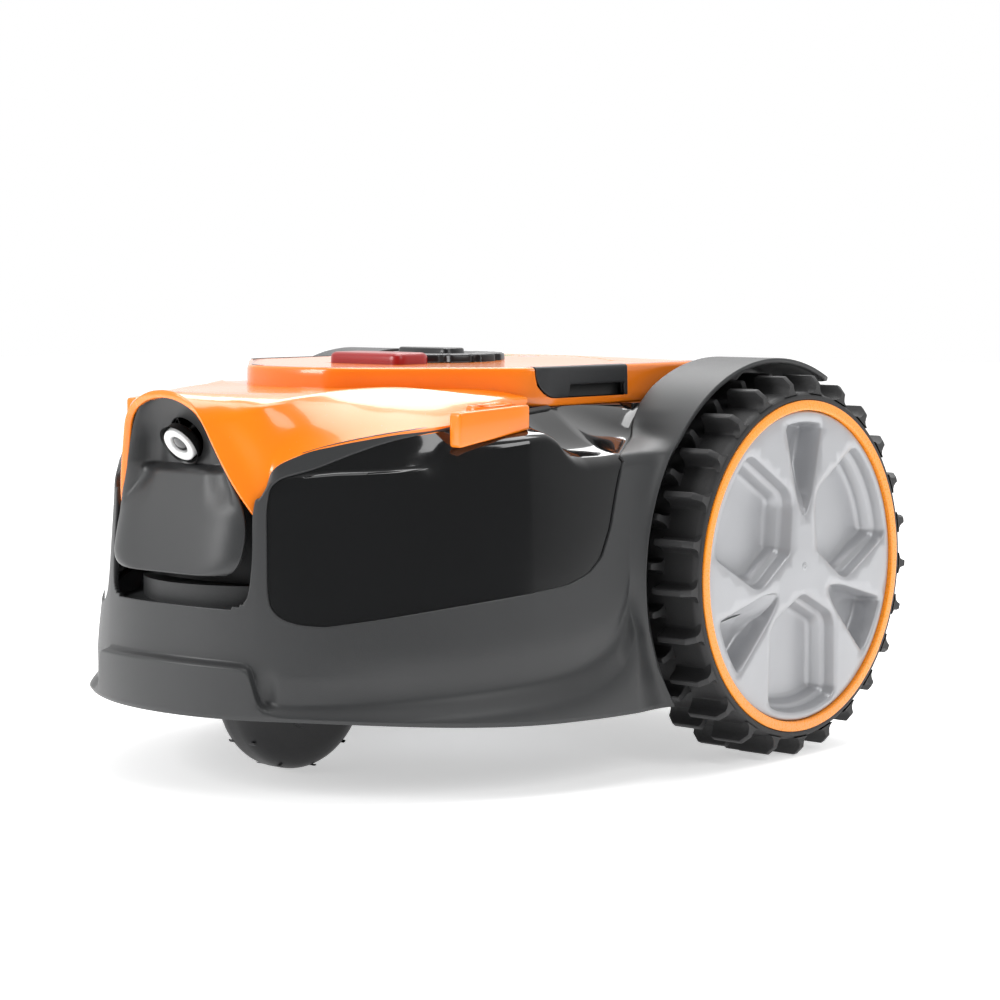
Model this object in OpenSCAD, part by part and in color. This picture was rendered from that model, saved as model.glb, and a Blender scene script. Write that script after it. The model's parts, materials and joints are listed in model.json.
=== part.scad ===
// Robotic lawn mower: two gear-motor driven rear wheels, a front caster, a height-adjustable
// cutting disc, and a one-piece hood over a matte skirt.
// Frame: +Z up, the front faces -Y, the mower's left side is +X, origin on the ground
// under the middle of the machine.

/* [Overall] */
// Distance of the drive axle behind the middle of the mower
axle_y = 103; // [102:0.5:104]
// Distance from the centreline to the outer face of a drive wheel
wheel_face_x = 195; // [194.5:0.5:197]

/* [Drive wheels] */
// Radius of a drive wheel over its lugs, which is also the height of the axle
wheel_r = 110; // [109:0.5:110]
// Height of a lug above the tyre casing
lug_h = 10.5; // [9:0.5:11]
// Lugs in each of the two rows
lug_n = 25; // [20:1:28]
// Width of the tyre
tyre_w = 48; // [46:1:48]
// Outer radius of the yellow trim ring
ring_r = 95.5; // [95:0.5:96]
// Outer radius of the silver hubcap
cap_r = 89.5; // [88:0.5:90]

/* [Skirt] */
// Half width of the skirt at the drive wheels
skirt_half_w = 176; // [174:0.5:177]
// Length of the rounded front part of the skirt
skirt_len = 223; // [222:0.5:223]
// Roundness of the skirt's plan: 2 is an ellipse, more is squarer
plan_n = 2.04; // [2.02:0.02:2.1]
// Thickness of the moulded shells
wall = 2.5; // [2.2:0.1:2.7]

/* [Hood and deck] */
// Half width of the raised deck
deck_half_w = 118; // [117:0.5:118.5]
// Height of the deck top above the ground
deck_z = 226; // [225:0.5:226.5]
// Place of the stop button along the mower
stop_y = -47; // [-49:0.5:-45]
// Place of the cutting height knob along the mower
knob_y = 7; // [6.5:0.5:8]
// Diameter of the cutting height knob
knob_d = 74; // [70:1:75]

/* [Cutter] */
// Place of the cutting disc's axis along the mower
cutter_y = 16; // [15:0.5:17]
// Cutting height with the disc fully raised
cut_high = 60; // [58:0.5:60]
// Radius of the cutting disc
disc_r = 58; // [55:1:60]
// Radius swept by the tips of the blades
tip_r = 80; // [76:1:80]

/* [Caster] */
// Radius of the front caster wheel
caster_r = 50; // [48:0.5:50]
// Width of the front caster wheel
caster_w = 30; // [26:1:32]
// Place of the caster's swivel axis along the mower
swivel_y = -133; // [-134:0.5:-132]
// Distance that the caster wheel trails its swivel axis
caster_trail = 15; // [12:0.5:16]

/* [Hidden] */
$fn = 64;

fit = 0.05;                         // radial running clearance of shafts and pins
gap = 0.3;                          // clearance between neighbouring mouldings
axle_z = wheel_r;                   // the lugs stand on the ground
skirt_mid_y = skirt_len - 220;      // where the skirt's rounded front ends
arch_r = wheel_r + 9;               // outer radius of a wheel arch
arch_in_x = 129;                    // inner side of a wheel arch
arch_out_x = 172;                   // open side of a wheel arch
floor_z = 72;                       // underside of the chassis floor
floor_t = 3;
shaft_r = 6;                        // drive shaft
tail_half_w = 126;
tail_end_y = 217;
tail_front_y = 107.5;
tail_z = 218;                       // top of the tail shell
cup_r = 34;                         // height-adjusting cup round the cutter motor
cup_h = 94;
spindle_r = 5;
spindle_end = cut_high + 50;        // lower end of the height spindle
well_r = 68;                        // caster well under the chassis
well_z = 109;                       // underside of the caster well's roof
caster_y = swivel_y + caster_trail;
board_z = 178;                      // underside of the main board
key_y = 62;
key_r = 6;
lid_half_w = 78;
lid_y0 = 118;
lid_y1 = 203;
hinge_z = tail_z + 1.2;
knuckle_r = 3;
lens_z = 186;
lens_y = -200.5;
lens_tilt = 35;

orange = "darkorange";
matte = "dimgray";
gloss = "black";

// ---- plan of the skirt: a superellipse, by the angle s from the nose ----

function plan_x(s) = skirt_half_w * pow(sin(abs(s)), 2 / plan_n) * sign(s);
function plan_c(s) = pow(cos(s), 2 / plan_n);
function plan_n_dir(s) = let (
    gx = pow(abs(plan_x(s)) / skirt_half_w, plan_n - 1) / skirt_half_w * sign(s),
    gy = -pow(plan_c(s), plan_n - 1) / skirt_len,
    g = norm([gx, gy])
  ) [gx / g, gy / g];
// point of the body side: d is the distance inside the plan, z the height
function side_pt(s, d, z) = let (n = plan_n_dir(s))
  [plan_x(s) - d * n[0], skirt_mid_y - skirt_len * plan_c(s) - d * n[1], z];
function angle_of_x(x) = asin(pow(x / skirt_half_w, plan_n / 2));
function mix(a, b, t) = a + (b - a) * t;

// ---- open skins: a grid of outer points, thickened inwards by t ----

function grid_normal(g, i, j) = let (
    ni = len(g) - 1, nj = len(g[0]) - 1,
    u = g[min(i + 1, ni)][j] - g[max(i - 1, 0)][j],
    v = g[i][min(j + 1, nj)] - g[i][max(j - 1, 0)],
    c = cross(u, v)
  ) c / norm(c);

module skin(g, t) {
  ni = len(g);
  nj = len(g[0]);
  outer = [for (i = [0:ni - 1]) for (j = [0:nj - 1]) g[i][j]];
  inner = [for (i = [0:ni - 1]) for (j = [0:nj - 1]) g[i][j] - t * grid_normal(g, i, j)];
  m = ni * nj;
  top = [for (i = [0:ni - 2]) for (j = [0:nj - 2]) let (a = i * nj + j, b = a + nj)
      each [[a, a + 1, b], [b, a + 1, b + 1]]];
  under = [for (i = [0:ni - 2]) for (j = [0:nj - 2]) let (a = i * nj + j + m, b = a + nj)
      each [[a, b, a + 1], [b, b + 1, a + 1]]];
  ends = [for (j = [0:nj - 2]) let (a = j, b = (ni - 1) * nj + j)
      each [[a, a + m, a + 1], [a + 1, a + m, a + 1 + m], [b, b + 1, b + m], [b + 1, b + 1 + m, b + m]]];
  rims = [for (i = [0:ni - 2]) let (a = i * nj, b = a + nj - 1)
      each [[a, a + nj, a + m], [a + nj, a + nj + m, a + m],
            [b, b + m, b + nj], [b + nj, b + m, b + nj + m]]];
  polyhedron(points = concat(outer, inner), faces = concat(top, under, ends, rims), convexity = 8);
}

// ---- skirt ----

// top edge of the skirt at the nose, by x: opening sill, its rounded corner, pillar
nose_edge = [[0, 100], [18, 100], [36, 100], [46, 100.5], [51, 103], [54, 108], [55.5, 116],
             [57.5, 148], [60, 163], [65, 175], [69.3, 179], [70.3, 106]];
// top edge along the side, by plan angle: under the glossy panel and up behind it
side_edge = [[24, 98], [27, 94.5], [32, 93], [41.5, 97], [50, 101], [57, 104], [65, 107],
             [72, 110], [76, 115], [78.5, 123], [80.5, 139], [82, 165], [83.2, 186]];
panel_rear = 83.2;

// extra draft of the wall at the rounded corners
function draft(s) = lookup(abs(s), [[20, 0], [38, 0.06], [52, 0.06], [66, 0]]);
function wall_d(s, z) = 5 + (z - 70) * (0.062 + draft(s));
function flare(s) = 0.8 * pow(max(0, min(1, (abs(s) - 70) / 18)), 1.5);
function hem_z(s) = lookup(abs(s), [[25, 44], [70, 38], [90, 38]]);
// top of the bumper lip at the nose, which runs back as a low flange
function lip_z(s) = let (x = abs(plan_x(s)))
  lookup(x, [[55, 69.5], [62, 66], [69, 56], [76, 51], [150, 47], [165, 50], [176, 62]]);
// where the wheel arch cuts the skirt off, by height
function arch_front_y(z) = axle_y - sqrt(pow(arch_r + 1.8, 2) - pow(z - axle_z, 2));
function end_angle(z) = let (y = min(skirt_mid_y, arch_front_y(z)))
  acos(pow(max(0, skirt_mid_y - y) / skirt_len, plan_n / 2));
function skirt_levels(s, top) = let (zf = lip_z(s), z0 = zf + 2.5)
  concat([[hem_z(s), 1], [hem_z(s) + 3, 0], [zf, 0]],
         [for (k = [0:5]) let (z = mix(z0, top, k / 5)) [z, wall_d(s, z) * (1 - flare(s))]]);
function skirt_half() = concat(
  [for (e = nose_edge) let (s = angle_of_x(e[0])) [for (l = skirt_levels(s, e[1])) side_pt(s, l[1], l[0])]],
  [for (e = side_edge) [for (l = skirt_levels(e[0], e[1])) side_pt(e[0], l[1], l[0])]],
  [for (k = [1:3]) [for (l = skirt_levels(mix(panel_rear, 88, k / 3), 186))
    side_pt(mix(panel_rear, end_angle(l[0]), k / 3), l[1], l[0])]]);
function mirror_row(r) = [for (p = r) [-p[0], p[1], p[2]]];
function both_sides(h) = concat([for (i = [len(h) - 1:-1:1]) mirror_row(h[i])], h);

module skirt() {
  color(matte) skin(both_sides(skirt_half()), wall);
}

// ---- wheel arches ----

module along_x(x) {
  translate([x, axle_y, axle_z]) rotate([0, 90, 0]) children();
}

module wheel_arch() {
  tail_angle = 26;                  // the band ends this far behind the top
  lip = 3.5;
  difference() {
    along_x(arch_in_x) cylinder(r = arch_r, h = arch_out_x - arch_in_x, $fn = 128);
    along_x(arch_in_x + lip) cylinder(r = arch_r - lip, h = 60, $fn = 128);
    along_x(arch_in_x - 1) cylinder(r = shaft_r + 4, h = 10);
    translate([100, 220, 0]) cube([100, 20, 300]);
    // clear of the ground at the front and of the open rear
    translate([100, axle_y - 150, -50]) cube([100, 300, 50 + 44]);
    translate([arch_in_x + lip, axle_y, axle_z]) rotate([90 - tail_angle, 0, 0])
      translate([0, 0, -300]) cube([100, 200, 300]);
    translate([arch_in_x + lip, axle_y, -50]) cube([100, 200, 50 + axle_z]);
  }
}
module wheel_arch_left() { color(matte) wheel_arch(); }
module wheel_arch_right() { color(matte) mirror([1, 0, 0]) wheel_arch(); }

// ---- hood: a sloping cowl from the snout arch back, with the raised deck on it ----

// lower edge of the hood by plan angle: x, y and height
edge_x = [[22, 61], [28, 72.4], [36, 85.6], [45, 103], [55, 117], [65, 121.5], [75, 119], [83, 118.5]];
edge_y = [[22, -188], [28, -176.8], [36, -164], [45, -145.5], [55, -120], [65, -90], [75, -58], [83, -33]];
edge_z = [[22, 177], [28, 184], [36, 188.8], [45, 193.6], [55, 197], [65, 200], [75, 203], [83, 205]];
function hood_edge(s) = [lookup(s, edge_x), lookup(s, edge_y), lookup(s, edge_z)];

// half cross-sections of the cowl, each from its lower edge over the crease to the middle
cowl = [
  [[54, -195.6, 150], [46.5, -202.5, 165], [38.5, -207.5, 183], [31.5, -211.5, 200],
   [26, -212, 207.5], [18, -212, 212.5], [9, -212, 215.4], [0, -212, 216]],
  [[56.5, -193, 151], [52, -195, 168], [44, -200, 186], [37, -205, 202],
   [30, -205, 209], [20, -205, 213], [9, -205, 215], [0, -205, 215.6]],
  [[58.4, -190.8, 166], [57, -189.6, 180], [51, -194, 194], [45, -197, 204.5],
   [36, -197, 210], [24, -197, 213], [11, -197, 214.7], [0, -197, 215]],
  [[61.5, -188, 177], [60.5, -184, 188], [57.5, -184, 199], [53, -186, 208.5],
   [42, -186, 211.8], [28, -186, 213.5], [13, -186, 214.4], [0, -186, 214.6]],
  [[72.4, -176.8, 184], [69.5, -171, 194], [63.5, -168, 203], [55, -166, 211.8],
   [44, -166, 213.4], [30, -166, 214], [15, -166, 214.3], [0, -166, 214.4]],
  [[85.6, -164, 188.8], [79.5, -156, 198], [69, -150, 206.5], [56, -147, 214],
   [45, -147, 214.3], [30, -147, 214.4], [15, -147, 214.5], [0, -147, 214.5]],
  [[103, -145.5, 193.6], [93.5, -136.5, 202], [77, -130, 210], [58, -124, 215.6],
   [46, -126, 215], [30, -128, 214.7], [15, -130, 214.6], [0, -131, 214.6]],
  [[117, -120, 197], [109.5, -111.5, 204], [94, -106, 211], [74, -102, 216],
   [60, -108, 215.5], [40, -114, 215], [20, -118, 215], [0, -120, 215]],
  [[122, -90, 200], [121, -86, 205], [117, -82, 209], [110, -80, 212],
   [90, -86, 214.5], [60, -92, 215], [30, -98, 215], [0, -100, 215]],
  [[119, -58, 203], [118.8, -55, 205.5], [118, -52, 208], [116, -50, 210],
   [95, -56, 214], [60, -62, 215], [30, -68, 215], [0, -70, 215]]
];
function full_row(r) = concat(r, [for (j = [len(r) - 2:-1:0]) [-r[j][0], r[j][1], r[j][2]]]);

deck_rear_y = 107;
// right half of the deck's front edge, from the middle out to the straight side
deck_front = [[0, -123], [20, -121.5], [36, -116.5], [46, -109], [56, -99], [67.5, -87.5], [79, -76], [90, -66],
              [100, -56.5], [107.5, -50.5], [113, -44], [116.5, -38], [118, -32]];
// plan of the deck, drawn in by d
module deck_plan(d = 0) {
  w = deck_half_w - d;
  k = w / deck_half_w;
  n = len(deck_front) - 1;
  half = [for (q = deck_front) [k * q[0], q[1] + d * (1 - pow(q[0] / deck_half_w, 4))]];
  polygon(concat([[-w, deck_rear_y - d]], [for (i = [n:-1:1]) [-half[i][0], half[i][1]]], half,
                 [[w, deck_rear_y - d]]));
}

stop_w = 58;
stop_d = 28;
module stop_plan(d) {
  r = 7;
  for (x = [-1, 1]) for (y = [-1, 1])
    translate([x * (stop_w / 2 - r), y * (stop_d / 2 - r)]) circle(r + d);
  square([stop_w + 2 * d, stop_d - 2 * r], center = true);
  square([stop_w - 2 * r, stop_d + 2 * d], center = true);
}

// recess for a latch in the deck's side wall
latch_y0 = -45;
latch_y1 = 35;
latch_z0 = 209;
module latch_plate(d) {
  r = 13;
  // side view: rounded lower front corner
  translate([deck_half_w - wall - 0.5, 0, 0]) rotate([90, 0, 90]) linear_extrude(wall + 2)
    union() {
      translate([latch_y0 + r, latch_z0 + r]) circle(r + d);
      translate([latch_y0 + r, latch_z0 - d]) square([latch_y1 - latch_y0 - r + d, deck_z + 3 - latch_z0 + d]);
      translate([latch_y0 - d, latch_z0 + r]) square([r + d, deck_z + 3 - latch_z0 - r]);
    }
}

// hinge pin of a latch, longer than the plate by e at each end
pin_r = 0.9;
module latch_pin(r, e) {
  translate([deck_half_w - 1.4, latch_y0 - e, deck_z - 2]) rotate([-90, 0, 0])
    cylinder(r = r, h = latch_y1 - latch_y0 + 2 * e, $fn = 32);
}

// bar that stands off each flank of the hood, joined to it at its rear end
module side_bar() {
  intersection() {
    translate([0, 0, 186]) linear_extrude(23)
      polygon([[133.5, -123.5], [142.5, -76.5], [128, -76.5], [127, -100], [127, -122.5]]);
    rotate([90, 0, 90]) linear_extrude(200)
      polygon([[-123.5, 187], [-76.5, 195], [-76.5, 208], [-123.5, 205]]);
  }
  translate([117.5, -96, 203]) cube([13, 18, 4.5]);
}

vent_n = 11;                        // vent slots on each side of the middle
vent_pitch = 8;
module hood() {
  color(orange) difference() {
    union() {
      for (m = [0, 1]) mirror([m, 0, 0]) side_bar();
      difference() {
        skin([for (r = cowl) full_row(r)], wall);
        translate([0, 0, 180]) linear_extrude(60) deck_plan(1.2);
        translate([-deck_half_w + 1.2, -60, 180]) cube([2 * (deck_half_w - 1.2), 60, 60]);
      }
      difference() {
        translate([0, 0, 206]) linear_extrude(deck_z - 206) deck_plan();
        translate([0, 0, 200]) linear_extrude(deck_z - wall - 200) deck_plan(wall);
        translate([-deck_half_w + wall, deck_rear_y - 5, 200]) cube([2 * (deck_half_w - wall), 10, deck_z - wall - 200]);
      }
    }
    // stop button, height knob, keys and the lamp window
    translate([0, stop_y, deck_z - 5]) linear_extrude(10) stop_plan(gap);
    translate([0, knob_y, deck_z - 5]) cylinder(r = 9 + fit, h = 10);
    for (x = [-20, 0, 20]) translate([x, key_y, deck_z - 5]) cylinder(r = key_r + gap, h = 10);
    // curved row of vent slots towards the rear
    for (k = [-vent_n:vent_n]) let (x = k * vent_pitch)
      translate([x - 1, 83.5 - 0.0037 * x * x, deck_z - 5]) cube([2, 5, 10]);
    // latch recesses with the holes for their pins
    for (m = [0, 1]) mirror([m, 0, 0]) {
      latch_plate(gap);
      latch_pin(pin_r + fit, 2.1);
    }
  }
}

// ---- glossy side panels ----

panel_s = [22.4, 24, 27, 32, 38, 45, 51, 55, 60, 66, 70, 74, 77, 79.5, 81.6];
function panel_bottom(s) = lookup(s, [[22.4, 103], [24, 96], [27, 92], [32, 90.5], [41.5, 94.5], [50, 98.5],
  [57, 101.5], [65, 104.5], [72, 107.5], [76, 112.5], [78.5, 120], [80.5, 136], [81.6, 158]]);
// height of the shoulder, raised to a ridge under the side tab
function shoulder_z(s) = lookup(s, [[22, 166], [45, 168], [55, 176], [66, 177], [82, 177]]);
panel_inset = 3;
function panel_row(s) = let (
    b = panel_bottom(s), t = shoulder_z(s), e = hood_edge(s) + [1.2, -0.8, -2.2],
    top = side_pt(s, wall_d(s, t) + panel_inset, t), fold = side_pt(s, wall_d(s, t) + panel_inset + 5, t + 5)
  ) concat([for (k = [0:4]) let (z = mix(b, t, k / 4)) side_pt(s, wall_d(s, z) + panel_inset, z)],
           [fold, mix(fold, e, 0.5) - [0, 0, 4], e]);

module side_panel() {
  skin([for (s = panel_s) panel_row(s)], 2.4);
}
module shoulder_strip() {
  // carries the panel's top back between the deck and the wheel arch
  translate([deck_half_w + 0.6, -41, 199]) cube([arch_in_x - gap - deck_half_w - 0.6, 146, 3]);
}
module side_panel_left() { color(gloss) { side_panel(); shoulder_strip(); } }
module side_panel_right() { color(gloss) mirror([1, 0, 0]) { side_panel(); shoulder_strip(); } }

// ---- snout face and its camera ----

// half width, depth at the edge and depth at the middle, by height
face_w = [[119, 43], [121, 47], [125, 49.5], [135, 50.5], [148, 49], [158, 45.5], [170, 39.2], [186, 32.5],
          [198, 27], [206, 21], [211, 12]];
face_edge_y = [[119, -206], [148, -199.5], [186, -205], [211, -209]];
face_mid_y = [[119, -212], [178, -192], [180, -191.5], [211, -207.5]];
face_z = [119, 121, 125, 135, 148, 160, 176, 181, 190, 200, 206, 211];
module snout_face() {
  color(matte) difference() {
    skin([for (k = [-4:4]) [for (z = face_z) let (w = lookup(z, face_w), e = pow(abs(k) / 4, 6))
      [w * k / 4, mix(lookup(z, face_mid_y), lookup(z, face_edge_y), e), z]]], 2.2);
    at_lens() cylinder(r = 12, h = 30, center = true);
  }
}
module at_lens() {
  translate([0, lens_y, lens_z]) rotate([90 + lens_tilt, 0, 0]) children();
}
module camera_module() {
  color("darkslategray") at_lens() {
    difference() {
      translate([0, 0, -14]) cylinder(r = 11.6, h = 13);
      translate([0, 0, -6]) cylinder(r = 10.4, h = 6);
    }
    translate([-11, -11, -17]) cube([22, 22, 3]);
  }
}
module camera_ring() {
  color("white") at_lens() difference() {
    translate([0, 0, -5.8]) cylinder(r = 10, h = 6.8);
    translate([0, 0, -7]) cylinder(r = 5.2, h = 9);
  }
}
module camera_lens() {
  color("black") at_lens() intersection() {
    translate([0, 0, -5.8]) cylinder(r = 5, h = 6.6);
    translate([0, 0, -11]) sphere(r = 12, $fn = 48);
  }
}

// ---- tail shell with the battery lid, between the wheels ----

module tail_plan(d = 0) {
  w = tail_half_w - d;
  r = 45 - d;
  y1 = tail_end_y - d;
  polygon(concat([[-w, tail_front_y], [w, tail_front_y]],
    [for (k = [0:9]) let (a = k * 10) [w - r + r * cos(a), y1 - r + r * sin(a)]],
    [for (k = [0:9]) let (a = 90 + k * 10) [-w + r + r * cos(a), y1 - r + r * sin(a)]]));
}
lid_t = 3;
module tail_shell() {
  color(matte) difference() {
    translate([0, 0, 50]) linear_extrude(tail_z - 50) tail_plan();
    translate([0, 0, 45]) linear_extrude(tail_z - wall - 45) tail_plan(wall);
    translate([-tail_half_w + wall, tail_front_y - 5, 45])
      cube([2 * (tail_half_w - wall), 10, tail_z - wall - 45]);
    // battery opening
    translate([-lid_half_w, lid_y0, tail_z - 10]) cube([2 * lid_half_w, lid_y1 - lid_y0 - 8, 20]);
    // seat for the lid and its hinge
    translate([-lid_half_w - 3 - gap, lid_y0 - 3 - gap, tail_z - 1])
      cube([2 * (lid_half_w + 3 + gap), lid_y1 - lid_y0 + 3, 4]);
    translate([-65, lid_y1 - 8, tail_z - 2.3]) cube([130, 13, 5]);
    // drive shafts
    translate([-200, axle_y, axle_z]) rotate([0, 90, 0]) cylinder(r = shaft_r + 4, h = 400);
    // charging socket
    translate([0, tail_end_y - 10, 150]) rotate([-90, 0, 0]) cylinder(r = 9 + fit, h = 20);
  }
  // bar and knuckles of the lid's hinge
  color(matte) translate([-65, lid_y1 - 8, tail_z - 7]) cube([130, 16, 7 - 2.3]);
  color(matte) for (x = [-50, 50]) hinge_knuckle(x, 24);
}
module hinge_knuckle(x, w) {
  difference() {
    union() {
      translate([x - w / 2, lid_y1, hinge_z]) rotate([0, 90, 0]) cylinder(r = knuckle_r, h = w);
      translate([x - w / 2, lid_y1 - 2.5, tail_z - 3]) cube([w, 5, 4]);
    }
    translate([x - w, lid_y1, hinge_z]) rotate([0, 90, 0]) cylinder(r = 1.5 + fit, h = 2 * w);
  }
}

module battery_lid() {
  color(matte) difference() {
    union() {
      translate([-lid_half_w - 3, lid_y0 - 3, tail_z - 0.7]) cube([2 * (lid_half_w + 3), lid_y1 - lid_y0 - 4, lid_t]);
      for (x = [-19, 19]) {
        translate([x - 18, lid_y1, hinge_z]) rotate([0, 90, 0]) cylinder(r = knuckle_r, h = 36);
        translate([x - 18, lid_y1 - 9, tail_z - 0.7]) cube([36, 9, lid_t]);
      }
    }
    translate([-100, lid_y1, hinge_z]) rotate([0, 90, 0]) cylinder(r = 1.5 + fit, h = 200);
    // finger scoop at the front edge
    translate([0, lid_y0 - 12, tail_z + 12]) sphere(r = 15);
  }
}
module lid_pin() {
  color("silver") translate([-62, lid_y1, hinge_z]) rotate([0, 90, 0]) cylinder(r = 1.5, h = 124);
}

// ---- chassis ----

module chassis_plan() {
  front = [for (k = [-12:12]) let (s = k * 7, p = side_pt(s, 12, 0)) [p[0], p[1]]];
  side = 120;
  corner = 44;                      // rounded inside the tail shell's corners
  rear = [for (k = [0:6]) let (a = k * 15) [side - corner + corner * cos(a), tail_end_y - 4 - corner + corner * sin(a)]];
  polygon(concat(front, [[side, -18]], rear, [for (k = [6:-1:0]) [-rear[k][0], rear[k][1]]], [[-side, -18]]));
}
module chassis() {
  color("darkgray") difference() {
    union() {
      translate([0, 0, floor_z]) linear_extrude(floor_t) chassis_plan();
      // caster well and its socket boss
      translate([0, swivel_y, floor_z]) cylinder(r = well_r + 3, h = well_z - floor_z + 3);
      translate([0, swivel_y, well_z]) cylinder(r = 20, h = 34);
      // saddles for the gear motors
      for (m = [0, 1]) mirror([m, 0, 0]) for (x = [46, 80])
        translate([x - 3, axle_y - 24, floor_z]) cube([6, 48, 20.5]);
      // battery tray walls
      for (x = [-70, 66]) translate([x, 140, floor_z]) cube([4, 66, 50]);
      translate([-66, 140, floor_z]) cube([132, 4, 50]);
      // posts under the main board
      for (x = [-55, 55]) for (y = [-54, -22]) translate([x, y, floor_z]) cylinder(r = 3, h = board_z - floor_z);
      // posts that the skirt and hood are screwed to
      for (p = screw_posts) translate([p[0], p[1], floor_z]) cylinder(r = 5, h = 28);
    }
    translate([0, swivel_y, floor_z - 1]) cylinder(r = well_r, h = well_z - floor_z + 1);
    translate([0, swivel_y, well_z - 1]) cylinder(r = 14, h = 60);
    translate([0, cutter_y, floor_z - 1]) cylinder(r = cup_r + 4, h = 20);
    for (m = [0, 1]) mirror([m, 0, 0]) translate([30, axle_y, axle_z]) rotate([0, 90, 0])
      cylinder(r = 20, h = 60);
    for (p = screw_posts) translate([p[0], p[1], floor_z - 1]) cylinder(r = 1.7, h = 26);
  }
}
screw_posts = [[-108, -110], [108, -110], [-108, 30], [108, 30], [-95, 195], [95, 195]];
module body_screws() {
  color("silver") for (p = screw_posts) translate([p[0], p[1], floor_z]) {
    translate([0, 0, -2.5]) cylinder(r = 3.5, h = 2.5);
    cylinder(r = 1.65, h = 20);
  }
}

module caster_socket() {
  // flanged bush for the caster's stem
  color("ivory") translate([0, swivel_y, well_z]) difference() {
    union() {
      cylinder(r = 14, h = 34);
      translate([0, 0, -1.5]) cylinder(r = 17, h = 1.5);
    }
    translate([0, 0, -3]) cylinder(r = 8 + fit, h = 50);
  }
}

module battery_pack() {
  color("darkslategray") difference() {
    translate([-62, 146, floor_z + floor_t]) cube([124, 46, 112]);
    for (x = [-31, 31]) translate([x - 12, 155, floor_z + floor_t + 104]) cube([24, 28, 10]);
  }
}
module main_board() {
  color("darkgreen") {
    translate([-60, -60, board_z]) cube([120, 42, 1.6]);
    translate([-45, -46, board_z + 1.5]) cube([16, 16, 3]);
    translate([-12, -32, board_z + 1.5]) cube([24, 12, 4]);
    translate([30, -48, board_z + 1.5]) cube([20, 20, 8]);
  }
}
module gear_motor() {
  color("silver") difference() {
    union() {
      along_x(34) cylinder(r = 19.9, h = 58);
      along_x(88) cylinder(r = 30, h = 30);
      along_x(26) cylinder(r = 5, h = 10);
    }
    along_x(100) cylinder(r = shaft_r + fit, h = 30);
  }
}
module gear_motor_left() { gear_motor(); }
module gear_motor_right() { mirror([1, 0, 0]) gear_motor(); }

module blade_guard() {
  // fixed guard under the floor, open towards the caster
  color(matte) difference() {
    translate([0, cutter_y, 44]) cylinder(r = 96, h = floor_z - 44, $fn = 96);
    translate([0, cutter_y, 40]) cylinder(r = 92.5, h = 40, $fn = 96);
    translate([-200, -200, 30]) cube([400, 200 + cutter_y - 30, 60]);
    // openings between the guard's legs
    for (a = [0, 45, 90, 135, 180]) translate([0, cutter_y, 52]) rotate([0, 0, a - 10])
      translate([60, -14, 0]) cube([60, 28, 14]);
  }
}
module height_guide() {
  color(matte) translate([0, cutter_y, floor_z + floor_t]) difference() {
    union() {
      cylinder(r = cup_r + 3.5, h = 74);
      cylinder(r = cup_r + 8, h = 4);
    }
    translate([0, 0, -10]) cylinder(r = cup_r + 0.1, h = 100);
  }
}
module charging_socket() {
  color("black") translate([0, tail_end_y - 1.5, 150]) rotate([90, 0, 0]) difference() {
    union() {
      translate([0, 0, -3]) cylinder(r = 11.5, h = 1.5);
      translate([0, 0, -1.5]) cylinder(r = 9, h = 22);
    }
    translate([0, 0, -4]) cylinder(r = 4, h = 16);
  }
}
module key_board() {
  color("darkgreen") translate([-30, key_y - 10, deck_z - 12]) cube([60, 20, 1.6]);
  color("black") for (x = [-30, 27]) translate([x, key_y - 5, deck_z - 10.5]) cube([3, 10, 8]);
  color("black") for (x = [-20, 0, 20])
    translate([x - 3, key_y - 3, deck_z - 10.4]) cube([6, 6, 2]);
}

// ---- controls ----

module stop_button() {
  color("firebrick") translate([0, stop_y, 0]) {
    translate([0, 0, deck_z - wall - 0.5]) linear_extrude(8.2) stop_plan(0);
    translate([0, 0, deck_z + 5.2]) intersection() {
      linear_extrude(1.4) stop_plan(-1.2);
      translate([-40, -40, 0]) cube([80, 80, 1.4]);
    }
    translate([0, 0, deck_z - 22]) cylinder(r = 4, h = 22);
  }
}
module stop_spring() {
  color("silver") translate([0, stop_y, deck_z - 17]) difference() {
    cylinder(r = 7, h = 13.7);
    translate([0, 0, -1]) cylinder(r = 5.6, h = 20);
  }
}
module stop_switch() {
  // stands on the main board, with a well for the button's stem
  color("black") difference() {
    translate([-12, stop_y - 10, board_z + 1.6]) cube([24, 20, deck_z - 17.5 - board_z - 1.6]);
    translate([0, stop_y, deck_z - 28.5]) cylinder(r = 4 + fit, h = 20);
  }
}
module key(x) {
  translate([x, key_y, deck_z - 6.6]) cylinder(r = key_r, h = 7.8);
}
module key_power() { color("black") key(-20); }
module key_start() { color("green") key(0); }
module key_home() { color("silver") key(20); }

module latch() {
  // plate set in the deck wall, hinged on a pin near its top edge
  latch_pin(pin_r, 1.9);
  difference() {
    intersection() {
      latch_plate(-0.01);
      translate([deck_half_w - 2, latch_y0, latch_z0]) cube([4, latch_y1 - latch_y0, deck_z - latch_z0 - 0.4]);
    }
    // finger recess under the rear half
    translate([deck_half_w - 3, -16, latch_z0 - 2]) cube([10, 48, 8]);
  }
}
module latch_left() { color("black") latch(); }
module latch_right() { color("black") mirror([1, 0, 0]) latch(); }

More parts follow.
